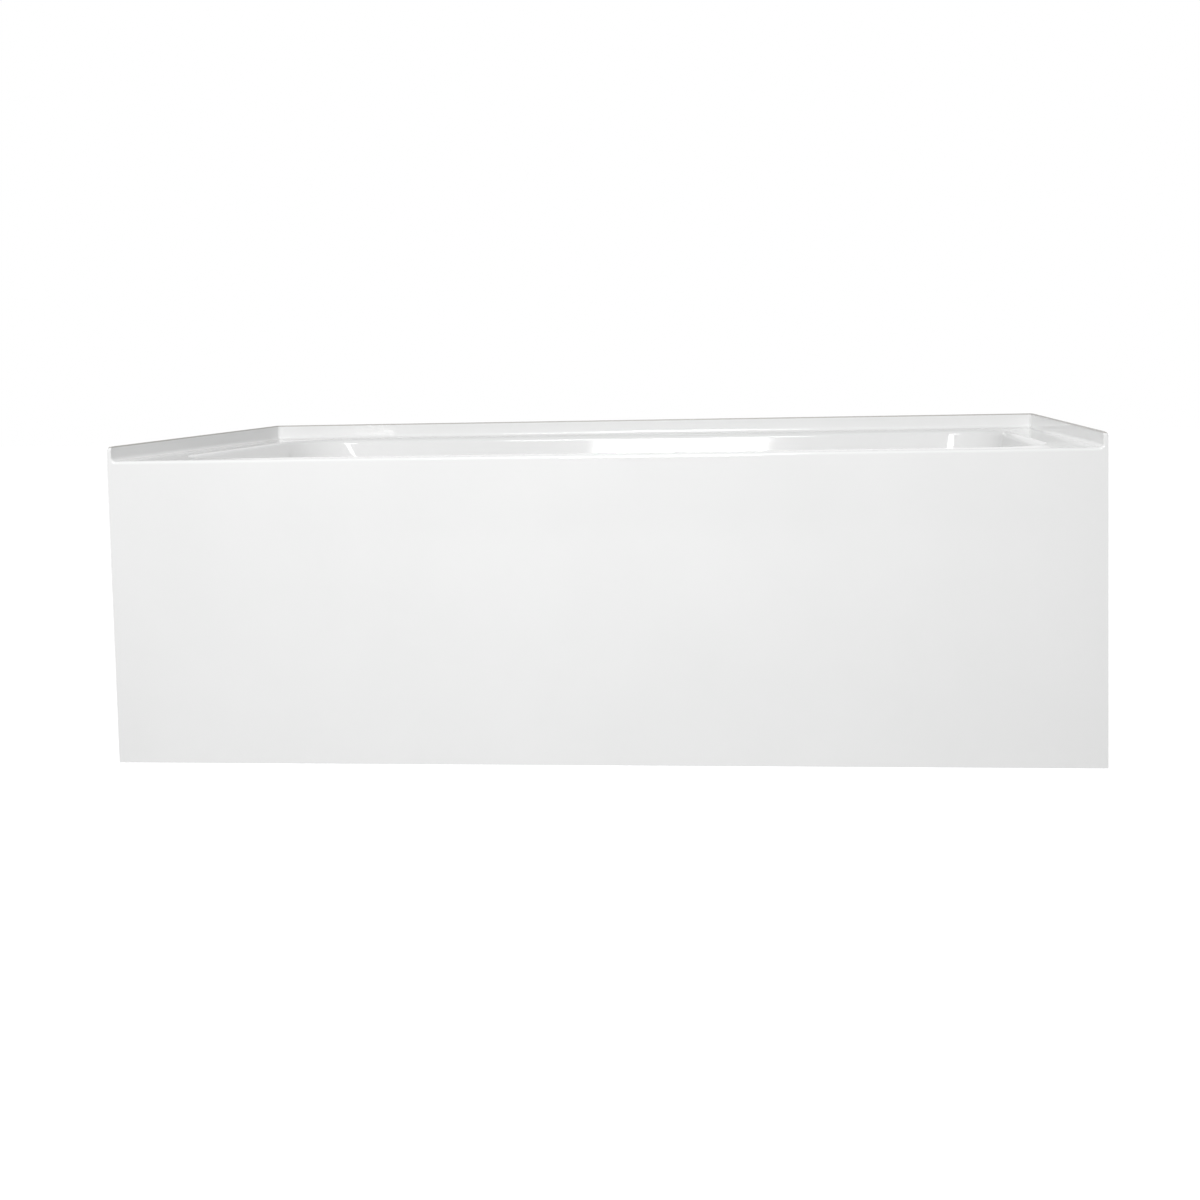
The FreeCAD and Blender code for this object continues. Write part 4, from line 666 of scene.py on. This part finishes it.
def flangeStrip(toe):
    # section: hollow round off the deck, inner face, eased inner edge, top, rounded outer edge,
    # outer face; carried from the front right, round the back, to the front left. Near the front
    # each point moves into the material by its own end round, so the strip ends flush with the
    # skirt, and the top falls by a quarter circle to the end
    half = tub["arcSteps"] // 2                        # the samples at the rectangle's corners
    backRight = tub["arcSteps"] + tub["sideSteps"] + half
    backLeft = backRight + tub["arcSteps"] + tub["longSteps"]
    frontLeft = backLeft + tub["arcSteps"] + tub["sideSteps"]
    rounding = np.linspace(0.0, math.pi / 2, tub["cornerSteps"])[1:-1]

    def run(first, last, way):
        line = toe[first:last + 1]
        return line, np.repeat(np.array([way]), len(line), 0)

    stations = [run(half, backRight, (1.0, 0.0))]
    stations.append((np.repeat(toe[backRight:backRight + 1], len(rounding), 0),
                     np.stack([np.cos(rounding), np.sin(rounding)], -1)))
    stations.append(run(backRight, backLeft, (0.0, 1.0)))
    stations.append((np.repeat(toe[backLeft:backLeft + 1], len(rounding), 0),
                     np.stack([-np.sin(rounding), np.cos(rounding)], -1)))
    stations.append(run(backLeft, frontLeft, (-1.0, 0.0)))
    base = np.concatenate([line for line, way in stations])
    way = np.concatenate([way for line, way in stations])
    nosed = np.linspace(0.0, math.pi / 2, tub["noseSteps"])
    nose = tub["lipRound"] * (1 - np.sin(nosed))[1:]
    start = np.stack([np.full(len(nose), base[0, 0]), tub["front"] + nose[::-1]], -1)
    end = np.stack([np.full(len(nose), base[-1, 0]), tub["front"] + nose], -1)
    base = np.concatenate([start, base, end])
    way = np.concatenate(
        [np.repeat(way[:1], len(nose), 0), way, np.repeat(way[-1:], len(nose), 0)])

    a = np.linspace(0.0, math.pi / 2, tub["sectionSteps"])
    cove, wall, top, tight = tub["cove"], tub["wall"], tub["topRound"], tub["innerRound"]
    lipRound, ended, outer = tub["lipRound"], tub["endRound"], tub["outerShare"]
    out = [cove * np.sin(a), [cove, cove], cove + tight * (1 - np.cos(a[::2])),
           [cove + wall / 2 - 1], cove + wall - top + top * np.sin(a), [cove + wall, cove + wall]]
    # up is measured from the deck or, where fromTop is 1, down from the flange's top
    up = [cove * (1 - np.cos(a)), [cove + 1.0, -tight - 1.0], -tight * (1 - np.sin(a[::2])),
          [0.0], -top * (1 - np.cos(a)), [-top - 1.0, -tub["sheet"]]]
    fromTop = [a * 0, [0, 1], a[::2] * 0 + 1, [1], a * 0 + 1, [1, 0]]
    # airOut and airUp give the way out of the material, and eased marks the inner edge
    airOut = [-np.sin(a), [-1, -1], -np.cos(a[::2]), [0], np.sin(a) * outer, [outer, outer]]
    airUp = [np.cos(a), [0, 0], np.sin(a[::2]), [1], np.cos(a), [0, 0]]
    endRound = [lipRound + (ended - lipRound) * a / a[-1], [ended] * 2, a[::2] * 0 + ended,
                [ended], a * 0 + ended, [ended] * 2]
    eased = [a * 0, [0, 0], a[::2] * 0 + 1, [0], a * 0, [0, 0]]
    out, up, fromTop, airOut, airUp, endRound, eased = (
        np.concatenate([np.asarray(part, float) for part in row])
        for row in (out, up, fromTop, airOut, airUp, endRound, eased))

    front = (base[:, 1] - tub["front"])[None, :]
    short = np.clip(endRound[:, None] - front, 0.0, None)
    inset = endRound[:, None] - np.sqrt(np.clip(endRound[:, None] ** 2 - short ** 2, 0.0, None))
    forward = np.clip((tub["back"] - base[:, 1]) / (tub["back"] - tub["front"]), 0.0, 1.0)
    height = tub["flange"] - tub["droop"] * forward[None, :]
    corner = tub["endCorner"]
    height = height - (corner - np.sqrt(corner ** 2 - np.clip(corner - front, 0.0, corner) ** 2))
    # past its own radius the eased inner edge closes to a corner, which moves in with both faces
    over = eased[:, None] * np.clip(inset - tight, 0.0, None)
    reach = out[:, None] - airOut[:, None] * inset + (1 + airOut[:, None]) * over
    square = 1 / np.abs(way).max(-1)[None, :]          # outer corners are square, inner ones round
    reach = reach * (1 + (square - 1) * np.clip((out[:, None] - cove) / wall, 0.0, 1.0))
    plan = base[None] + reach[..., None] * way[None]
    z = tub["deck"] + up[:, None] + fromTop[:, None] * height - airUp[:, None] * inset
    z = z - (1 - airUp[:, None]) * over
    return np.concatenate([plan, z[..., None]], -1)


def frontLip(toe):
    # the rolled edge along the front between the flange's ends, and the face below it, full length
    half = tub["arcSteps"] // 2
    line = np.concatenate([toe[-(tub["longSteps"] + half):], toe[:half + 1]])
    nosed = np.linspace(0.0, math.pi / 2, tub["noseSteps"])
    y = tub["front"] + tub["lipRound"] * (1 - np.sin(nosed))
    drop = tub["lipRound"] * (1 - np.cos(nosed))
    roll = np.zeros((len(nosed), len(line), 3))
    roll[..., 0] = line[None, :, 0]
    roll[..., 1] = y[:, None]
    roll[..., 2] = (tub["deck"] - drop)[:, None]
    x = np.array([-tub["halfLength"], *line[:, 0], tub["halfLength"]])
    front, low = tub["front"], tub["deck"] - tub["lipDrop"]
    behind, ease, nick = front + tub["sheet"], tub["lipEase"], 0.05
    section = np.array([
        (front, tub["deck"] - tub["lipRound"]), (front, low + nick), (front + nick, low),
        (behind - ease, low), (behind, low + ease), (behind, tub["deck"] - tub["sheet"])])
    face = np.zeros((len(section), len(x), 3))
    face[..., 0] = x[None, :]
    face[..., 1:] = section[:, None, :]
    return roll, face


def makeTub():
    # both sides of the sheet from the deck to the drain's hole, the flange, the rolled front edge
    # and the caps of their ends; edge is outer pushed out to the flange's own faces
    top = basinSide(0.0)
    below = basinSide(tub["sheet"])
    outer = toeLoop(tub["front"] + tub["lipRound"], tub["halfLength"] - tub["wall"] - tub["cove"],
                    tub["back"] - tub["wall"] - tub["cove"])
    near = 0.01
    sides = np.abs(outer[:, 0]) > outer[:, 0].max() - near
    rear = outer[:, 1] > outer[:, 1].max() - near
    edge = np.stack([np.where(sides, np.sign(outer[:, 0]) * tub["halfLength"], outer[:, 0]),
                     np.where(rear, tub["back"], outer[:, 1])], -1)
    floorTop = basinFloor(top[-1], 0.0)
    floorBelow = basinFloor(below[-1], tub["sheet"])
    through = np.stack([floorTop[-1], floorBelow[-1]], 0)
    strip = flangeStrip(outer)
    roll, face = frontLip(outer)
    deckTop = deckRings(top[0], outer, tub["deck"])
    deckBelow = deckRings(below[0], edge, tub["deck"] - tub["sheet"])
    grids = [
        (deckTop[::-1], True, False), (top, True, False),
        (np.concatenate([top[-1:], floorTop]), True, False), (through, True, False),
        (deckBelow[::-1], True, True), (below, True, True),
        (np.concatenate([below[-1:], floorBelow]), True, True),
        (strip, False, False), (roll, False, False), (face, False, False),
    ]
    ends = [strip[:, 0], strip[::-1, -1], face[::-1, 0], face[:, -1]]
    return makeMesh("tubSkin", grids, ends)


def cutRound(mesh, centre, way, radius, reach, sides):
    # a round hole along a line, cut with a cylinder: sides steps of one turn round the line, which
    # reaches as far to both sides of the centre
    turns = np.arange(sides) / sides * 2 * math.pi
    axis = np.array(way) / np.linalg.norm(way)
    across = np.cross(axis, (0.0, 1.0, 0.0))
    across /= np.linalg.norm(across)
    upward = np.cross(axis, across)
    ring = radius * (np.cos(turns)[:, None] * across + np.sin(turns)[:, None] * upward)
    rows = np.array(centre) + ring[None] + np.array([-reach, reach])[:, None, None] * axis
    rod = makeMesh("cutter", [(rows, True, False)], [rows[0, ::-1], rows[1]])
    cutter = bpy.data.objects.new("cutter", rod)
    whole = bpy.data.objects.new("whole", mesh)
    for helper in (cutter, whole):
        bpy.context.scene.collection.objects.link(helper)
    cut = whole.modifiers.new("cut", "BOOLEAN")
    cut.object, cut.operation, cut.solver = cutter, "DIFFERENCE", "EXACT"
    graph = bpy.context.evaluated_depsgraph_get()
    result = bpy.data.meshes.new_from_object(whole.evaluated_get(graph))
    for helper in (cutter, whole):
        bpy.data.objects.remove(helper)
    return result


# the overflow's hole, square to the wall at the waste end
overflow = {"drop": 86.0, "hole": 28.0, "reach": 20.0, "sides": 64}
lean = math.radians(tub["wasteEnd"])
overflowPoint = (tub["rimRight"] - overflow["drop"] * math.tan(lean), 0.0,
                 tub["deck"] - overflow["drop"])
overflowWay = (-math.cos(lean), 0.0, math.sin(lean))
skin = cutRound(makeTub(), overflowPoint, overflowWay, overflow["hole"], overflow["reach"],
                overflow["sides"])
tubPiece = makePiece("tubSkin", skin, "acrylic_white", "tub")
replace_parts(tubPiece, "tub_shell")
print("tub made,", len(skin.polygons), "faces")


# threads, nuts and screw heads, in millimetres
def turnedRows(radius, height):
    # radius (rows x columns) and height (rows x 1) swept once round the Z axis
    around = np.arange(radius.shape[1]) / radius.shape[1] * 2 * math.pi
    return np.stack([radius * np.cos(around), radius * np.sin(around), height + 0 * radius], -1)


def hexRadius(across, columns):
    # half the width across the flats over the cosine of the angle from the nearest flat's middle;
    # the corners lie 30 degrees off the X axis
    around = np.arange(columns) / columns * 2 * math.pi
    return across / 2 / np.cos((around + math.pi / 6) % (math.pi / 3) - math.pi / 6)


# a nut's flats and bore; its corners are eased by cones of a slope in degrees, over a depth at
# each end, that start at a share of the flats
nut = {"across": 19.0, "bore": 6.05, "ease": 0.75, "start": 0.985, "slope": 30.0, "columns": 72}


def hexRows(across, low, high, bore):
    # the hexagon or the cone, whichever is nearer the axis, with the bore's two rims
    columns = nut["columns"]
    flats = hexRadius(across, columns)[None, :]
    fall = np.linspace(0.0, 1.0, 5)[:, None] * nut["ease"]
    cone = across / 2 * nut["start"] + fall / math.tan(math.radians(nut["slope"]))
    eased = np.minimum(flats, cone)
    hole = np.full((1, columns), bore)
    radius = np.concatenate([hole, eased, eased[::-1], hole, hole])
    height = np.concatenate([[[low]], low + fall, high - fall[::-1], [[high]], [[low]]])
    return turnedRows(radius, height)


stud = {
    "radius": 6.0, "pitch": 1.75, "depth": 0.85, "low": 6.0, "threadLow": 20.0, "high": 94.0,
    "root": 1.3, "flank": 3.4, "chamfer": 1.2, "clear": 0.2,
    "grip": 17.0, "gripLow": 14.0, "gripHigh": 19.0, "perTurn": 6, "columns": 24,
    "left": -330.08, "right": 370.0, "reach": 290.33, "sharp": 50.0,
}


def studRows():
    # thread: the radius falls from crest to root and back once a pitch, and the crest's height
    # turns with the angle; root less flank times the distance from the root's middle, in pitches
    # and kept from 0 to 1, is the groove. The end is chamfered and both ends close on the axis
    turns = (stud["high"] - stud["threadLow"]) / stud["pitch"]
    height = np.linspace(stud["threadLow"], stud["high"], int(turns * stud["perTurn"]) + 1)[:, None]
    around = np.arange(stud["columns"])[None, :] / stud["columns"]
    phase = (height / stud["pitch"] - around) % 1.0
    groove = np.clip(stud["root"] - np.abs(phase - 0.5) * stud["flank"], 0.0, 1.0)
    runOut = np.clip((height - stud["threadLow"]) / stud["pitch"], 0.0, 1.0)
    chamfer = stud["chamfer"]
    ending = np.clip((height - stud["high"] + chamfer) / chamfer, 0.0, 1.0)
    crest = stud["radius"] - chamfer * ending
    thread = np.minimum(crest, stud["radius"] - stud["depth"] * groove * runOut)
    plain = np.full((2, stud["columns"]), stud["radius"])
    tip = np.zeros((1, stud["columns"]))
    radius = np.concatenate([tip, plain, thread, tip])
    shank = [[stud["low"]], [stud["low"]], [stud["gripHigh"] + stud["clear"]]]
    height = np.concatenate([shank, height, [[stud["high"]]]])
    grip = hexRows(stud["grip"], stud["gripLow"], stud["gripHigh"],
                   stud["radius"] - stud["clear"])
    return turnedRows(radius, height), grip


footPlaces = {
    row + "_" + end: np.array([stud[end], way * stud["reach"], 0.0])
    for row, way in (("front", -1), ("back", 1)) for end in ("left", "right")}
for name, spot in footPlaces.items():
    rod, grip = studRows()
    mesh = makeMesh("levellingStud_" + name, [(rod + spot, True, False),
                                              (grip + spot, True, False)])
    piece = makePiece("levellingStud_" + name, mesh, "galvanised_steel", "foot_" + name,
                      stud["sharp"])
    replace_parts(piece, "foot_stud_" + name)


def nutSet(name, node):
    # the same nut round each stud, its height read from the node that it stands for
    low, high = (corner.z * 1000 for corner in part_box(node))
    rows = hexRows(nut["across"], low, high, nut["bore"])
    mesh = makeMesh(name, [(rows + spot, True, False) for spot in footPlaces.values()])
    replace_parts(makePiece(name, mesh, "galvanised_steel", "tub"), node)


nutSet("weldNuts", "rail_nuts")
nutSet("lockNuts", "jam_nuts")
print("studs and nuts made")

screws = {
    "head": 4.5, "rise": 2.0, "shank": 2.0, "length": 12.0, "tip": 2.0, "doming": 0.75,
    "slotWide": 0.55, "slotReach": 2.6, "slotDeep": 1.1, "slotEdge": 0.2,
    "rings": 17, "columns": 48, "sharp": 40.0,
    "railY": (-180.0, 0.0, 180.0), "webZ": 75.0,
    "bracketX": (-185.04, 34.96, 254.96), "boardY": -202.83, "bracketZ": 74.0,
    "battenY": -381.5, "battenZ": 96.0,
    "plateHead": 4.1, "plateRise": 2.4, "plateLength": 23.0, "plateReach": 24.0, "plateSeat": 5.0,
}


def screwRows(head, rise, shank, length, cross):
    # domed head round the Z axis with a driver's cross or slot pressed in, its rim, its underside
    # and a plain shank that closes at its tip; the head points down Z. The dome's height is its
    # rise times the root of one less doming times the fourth power of the share of its radius
    around = np.arange(screws["columns"])[None, :] / screws["columns"] * 2 * math.pi
    out = head * np.linspace(0.0, 1.0, screws["rings"])[:, None]
    full = np.clip(1 - screws["doming"] * (out / head) ** 4, 0.0, 1.0)
    dome = rise * np.sqrt(full) + 0 * around
    x, y = out * np.cos(around), out * np.sin(around)
    gap = np.abs(y) if not cross else np.minimum(np.abs(x), np.abs(y))
    edge = screws["slotEdge"]
    inside = np.clip((screws["slotWide"] - gap) / edge + 0.5, 0.0, 1.0)
    reach = 1.0
    if cross:
        reach = np.clip((screws["slotReach"] - out) / (2 * edge) + 0.5, 0.0, 1.0)
    dome = dome - screws["slotDeep"] * inside * reach
    top = np.stack([x, y, -dome], -1)
    radius = np.array([head, shank, shank, 0.0])[:, None] + 0 * around
    height = np.array([0.0, 0.0, length - screws["tip"], length])[:, None]
    rest = turnedRows(radius, height)
    return np.concatenate([top, rest])


def placeRows(rows, origin, xWay, yWay, zWay):
    # each point's x, y and z laid off along three ways from an origin
    return np.array(origin) + rows @ np.array([xWay, yWay, zWay], float)


woodScrew = screwRows(screws["head"], screws["rise"], screws["shank"], screws["length"], True)
upright = ((1, 0, 0), (0, 1, 0), (0, 0, 1))
forward = ((1, 0, 0), (0, 0, 1), (0, -1, 0))           # into the batten, along -Y
railScrews = [placeRows(woodScrew, (x, y, screws["webZ"]), *upright)
              for x in (stud["left"], stud["right"]) for y in screws["railY"]]
bracketScrews = [placeRows(woodScrew, (x, screws["boardY"], screws["bracketZ"]), *upright)
                 for x in screws["bracketX"]]
bracketScrews += [placeRows(woodScrew, (x, screws["battenY"], screws["battenZ"]), *forward)
                  for x in screws["bracketX"]]
plateScrew = screwRows(screws["plateHead"], screws["plateRise"], screws["shank"],
                       screws["plateLength"], False)
upWall = (math.sin(lean), 0.0, math.cos(lean))
intoWall = tuple(-part for part in overflowWay)
plateSeat = np.array(overflowPoint) - np.array(intoWall) * screws["plateSeat"]
plateScrews = [placeRows(plateScrew, plateSeat + np.array(upWall) * side * screws["plateReach"],
                         upWall, (0, 1, 0), intoWall) for side in (-1, 1)]
screwSets = (
    ("panHeadScrews", "rail_screws", railScrews, "galvanised_steel"),
    ("angleScrews", "bracket_screws", bracketScrews, "galvanised_steel"),
    ("plateScrewPair", "plate_screws", plateScrews, "chrome"))
for name, node, sets, finish in screwSets:
    mesh = makeMesh(name, [(rows, True, False) for rows in sets])
    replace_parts(makePiece(name, mesh, finish, "tub", screws["sharp"]), node)
print("screws made")


# the camera stands where the photograph was taken: place and sensor in millimetres, turns in
# degrees, focal length and the lens axis in pixels of a 1200 pixel frame
shot = {
    "place": (335.0, -2850.0, 598.5), "yaw": -6.12, "down": 4.01, "roll": -1.12,
    "focal": 1635.0, "axis": (640.0, 487.0), "frame": 1200.0, "sensor": 36.0,
}


def placeCamera():
    yaw, down, roll = (math.radians(shot[key]) for key in ("yaw", "down", "roll"))
    ahead = Vector((math.sin(yaw) * math.cos(down), math.cos(yaw) * math.cos(down),
                    -math.sin(down)))
    right = Vector((math.cos(yaw), -math.sin(yaw), 0.0))
    up = right.cross(ahead)
    right, up = (right * math.cos(roll) + up * math.sin(roll),
                 up * math.cos(roll) - right * math.sin(roll))
    data = bpy.data.cameras.new("camera")
    data.sensor_width = shot["sensor"]
    data.lens = shot["sensor"] * shot["focal"] / shot["frame"]
    data.shift_x = 0.5 - shot["axis"][0] / shot["frame"]
    data.shift_y = shot["axis"][1] / shot["frame"] - 0.5
    camera = bpy.data.objects.new("camera", data)
    bpy.context.scene.collection.objects.link(camera)
    turn = Matrix((right, up, -ahead)).transposed().to_4x4()
    camera.matrix_world = Matrix.Translation(Vector(shot["place"]) * 0.001) @ turn
    bpy.context.scene.camera = camera


placeCamera()

# studio, in metres: an even white room, a pale floor, one soft box behind the camera and one high
# in front of the tub
studio = {
    "room": 0.345, "white": (1.0, 1.0, 1.0, 1.0),
    "floor": (0.38, 0.38, 0.38, 1.0), "roughness": 0.9, "lift": 0.88, "side": 12.0,
    "level": -0.0001,                                  # just under the feet, clear of their faces
    "boxes": {
        "keyBox": {"place": (-0.30, -4.2, 1.38), "aim": (0.0, 0.0, 0.35), "size": (0.77, 0.6),
                   "watts": 48.0},
        "highBox": {"place": (-0.3, -2.3, 2.3), "aim": (-0.1, -0.4, 0.3), "size": (1.2, 0.8),
                    "watts": 32.0},
    },
}


def seenWhite(tree):
    # 1 where the camera, a gloss or glass sees the surface, and 0 where it only gives light
    path = addNode(tree, "LightPath", (-700, 200)).outputs
    seen = mathNode(tree, "MAXIMUM", path["Is Camera Ray"], path["Is Transmission Ray"],
                    (-500, 200))
    return mathNode(tree, "MAXIMUM", seen, path["Is Glossy Ray"], (-350, 200))


def makeStudio():
    scene = bpy.context.scene
    scene.view_settings.view_transform = "Standard"
    world = bpy.data.worlds.new("room")
    world.use_nodes = True
    scene.world = world
    tree = world.node_tree
    back = tree.nodes["Background"]
    back.inputs["Color"].default_value = studio["white"]
    tree.links.new(stretch(tree, seenWhite(tree), span=(studio["room"], 1.0), place=(-200, 200)),
                   back.inputs["Strength"])

    for name, box in studio["boxes"].items():
        data = bpy.data.lights.new(name, "AREA")
        data.shape = "RECTANGLE"
        data.size, data.size_y = box["size"]
        data.energy = box["watts"]
        lamp = bpy.data.objects.new(name, data)
        scene.collection.objects.link(lamp)
        lamp.location = box["place"]
        ahead = Vector(box["aim"]) - Vector(box["place"])
        lamp.rotation_euler = ahead.to_track_quat("-Z", "Y").to_euler()


def makeFloor():
    # one flat square, white to the camera and pale to the light, with the object's shadow
    side, low = studio["side"], studio["level"]
    square = [(-side, -side, low), (side, -side, low), (side, side, low), (-side, side, low)]
    mesh = bpy.data.meshes.new("studioFloor")
    mesh.from_pydata(square, [], [(0, 1, 2, 3)])
    floor = bpy.data.objects.new("studioFloor", mesh)
    bpy.context.scene.collection.objects.link(floor)
    material, tree, shader, point = newMaterial(
        "paleFloor", Roughness=studio["roughness"], Base_Color=studio["floor"],
        Emission_Color=studio["white"])
    tree.links.new(mathNode(tree, "MULTIPLY", seenWhite(tree), studio["lift"], (-200, 200)),
                   shader["Emission Strength"])
    mesh.materials.append(material)


makeStudio()
makeFloor()
print("camera, lights and floor placed")
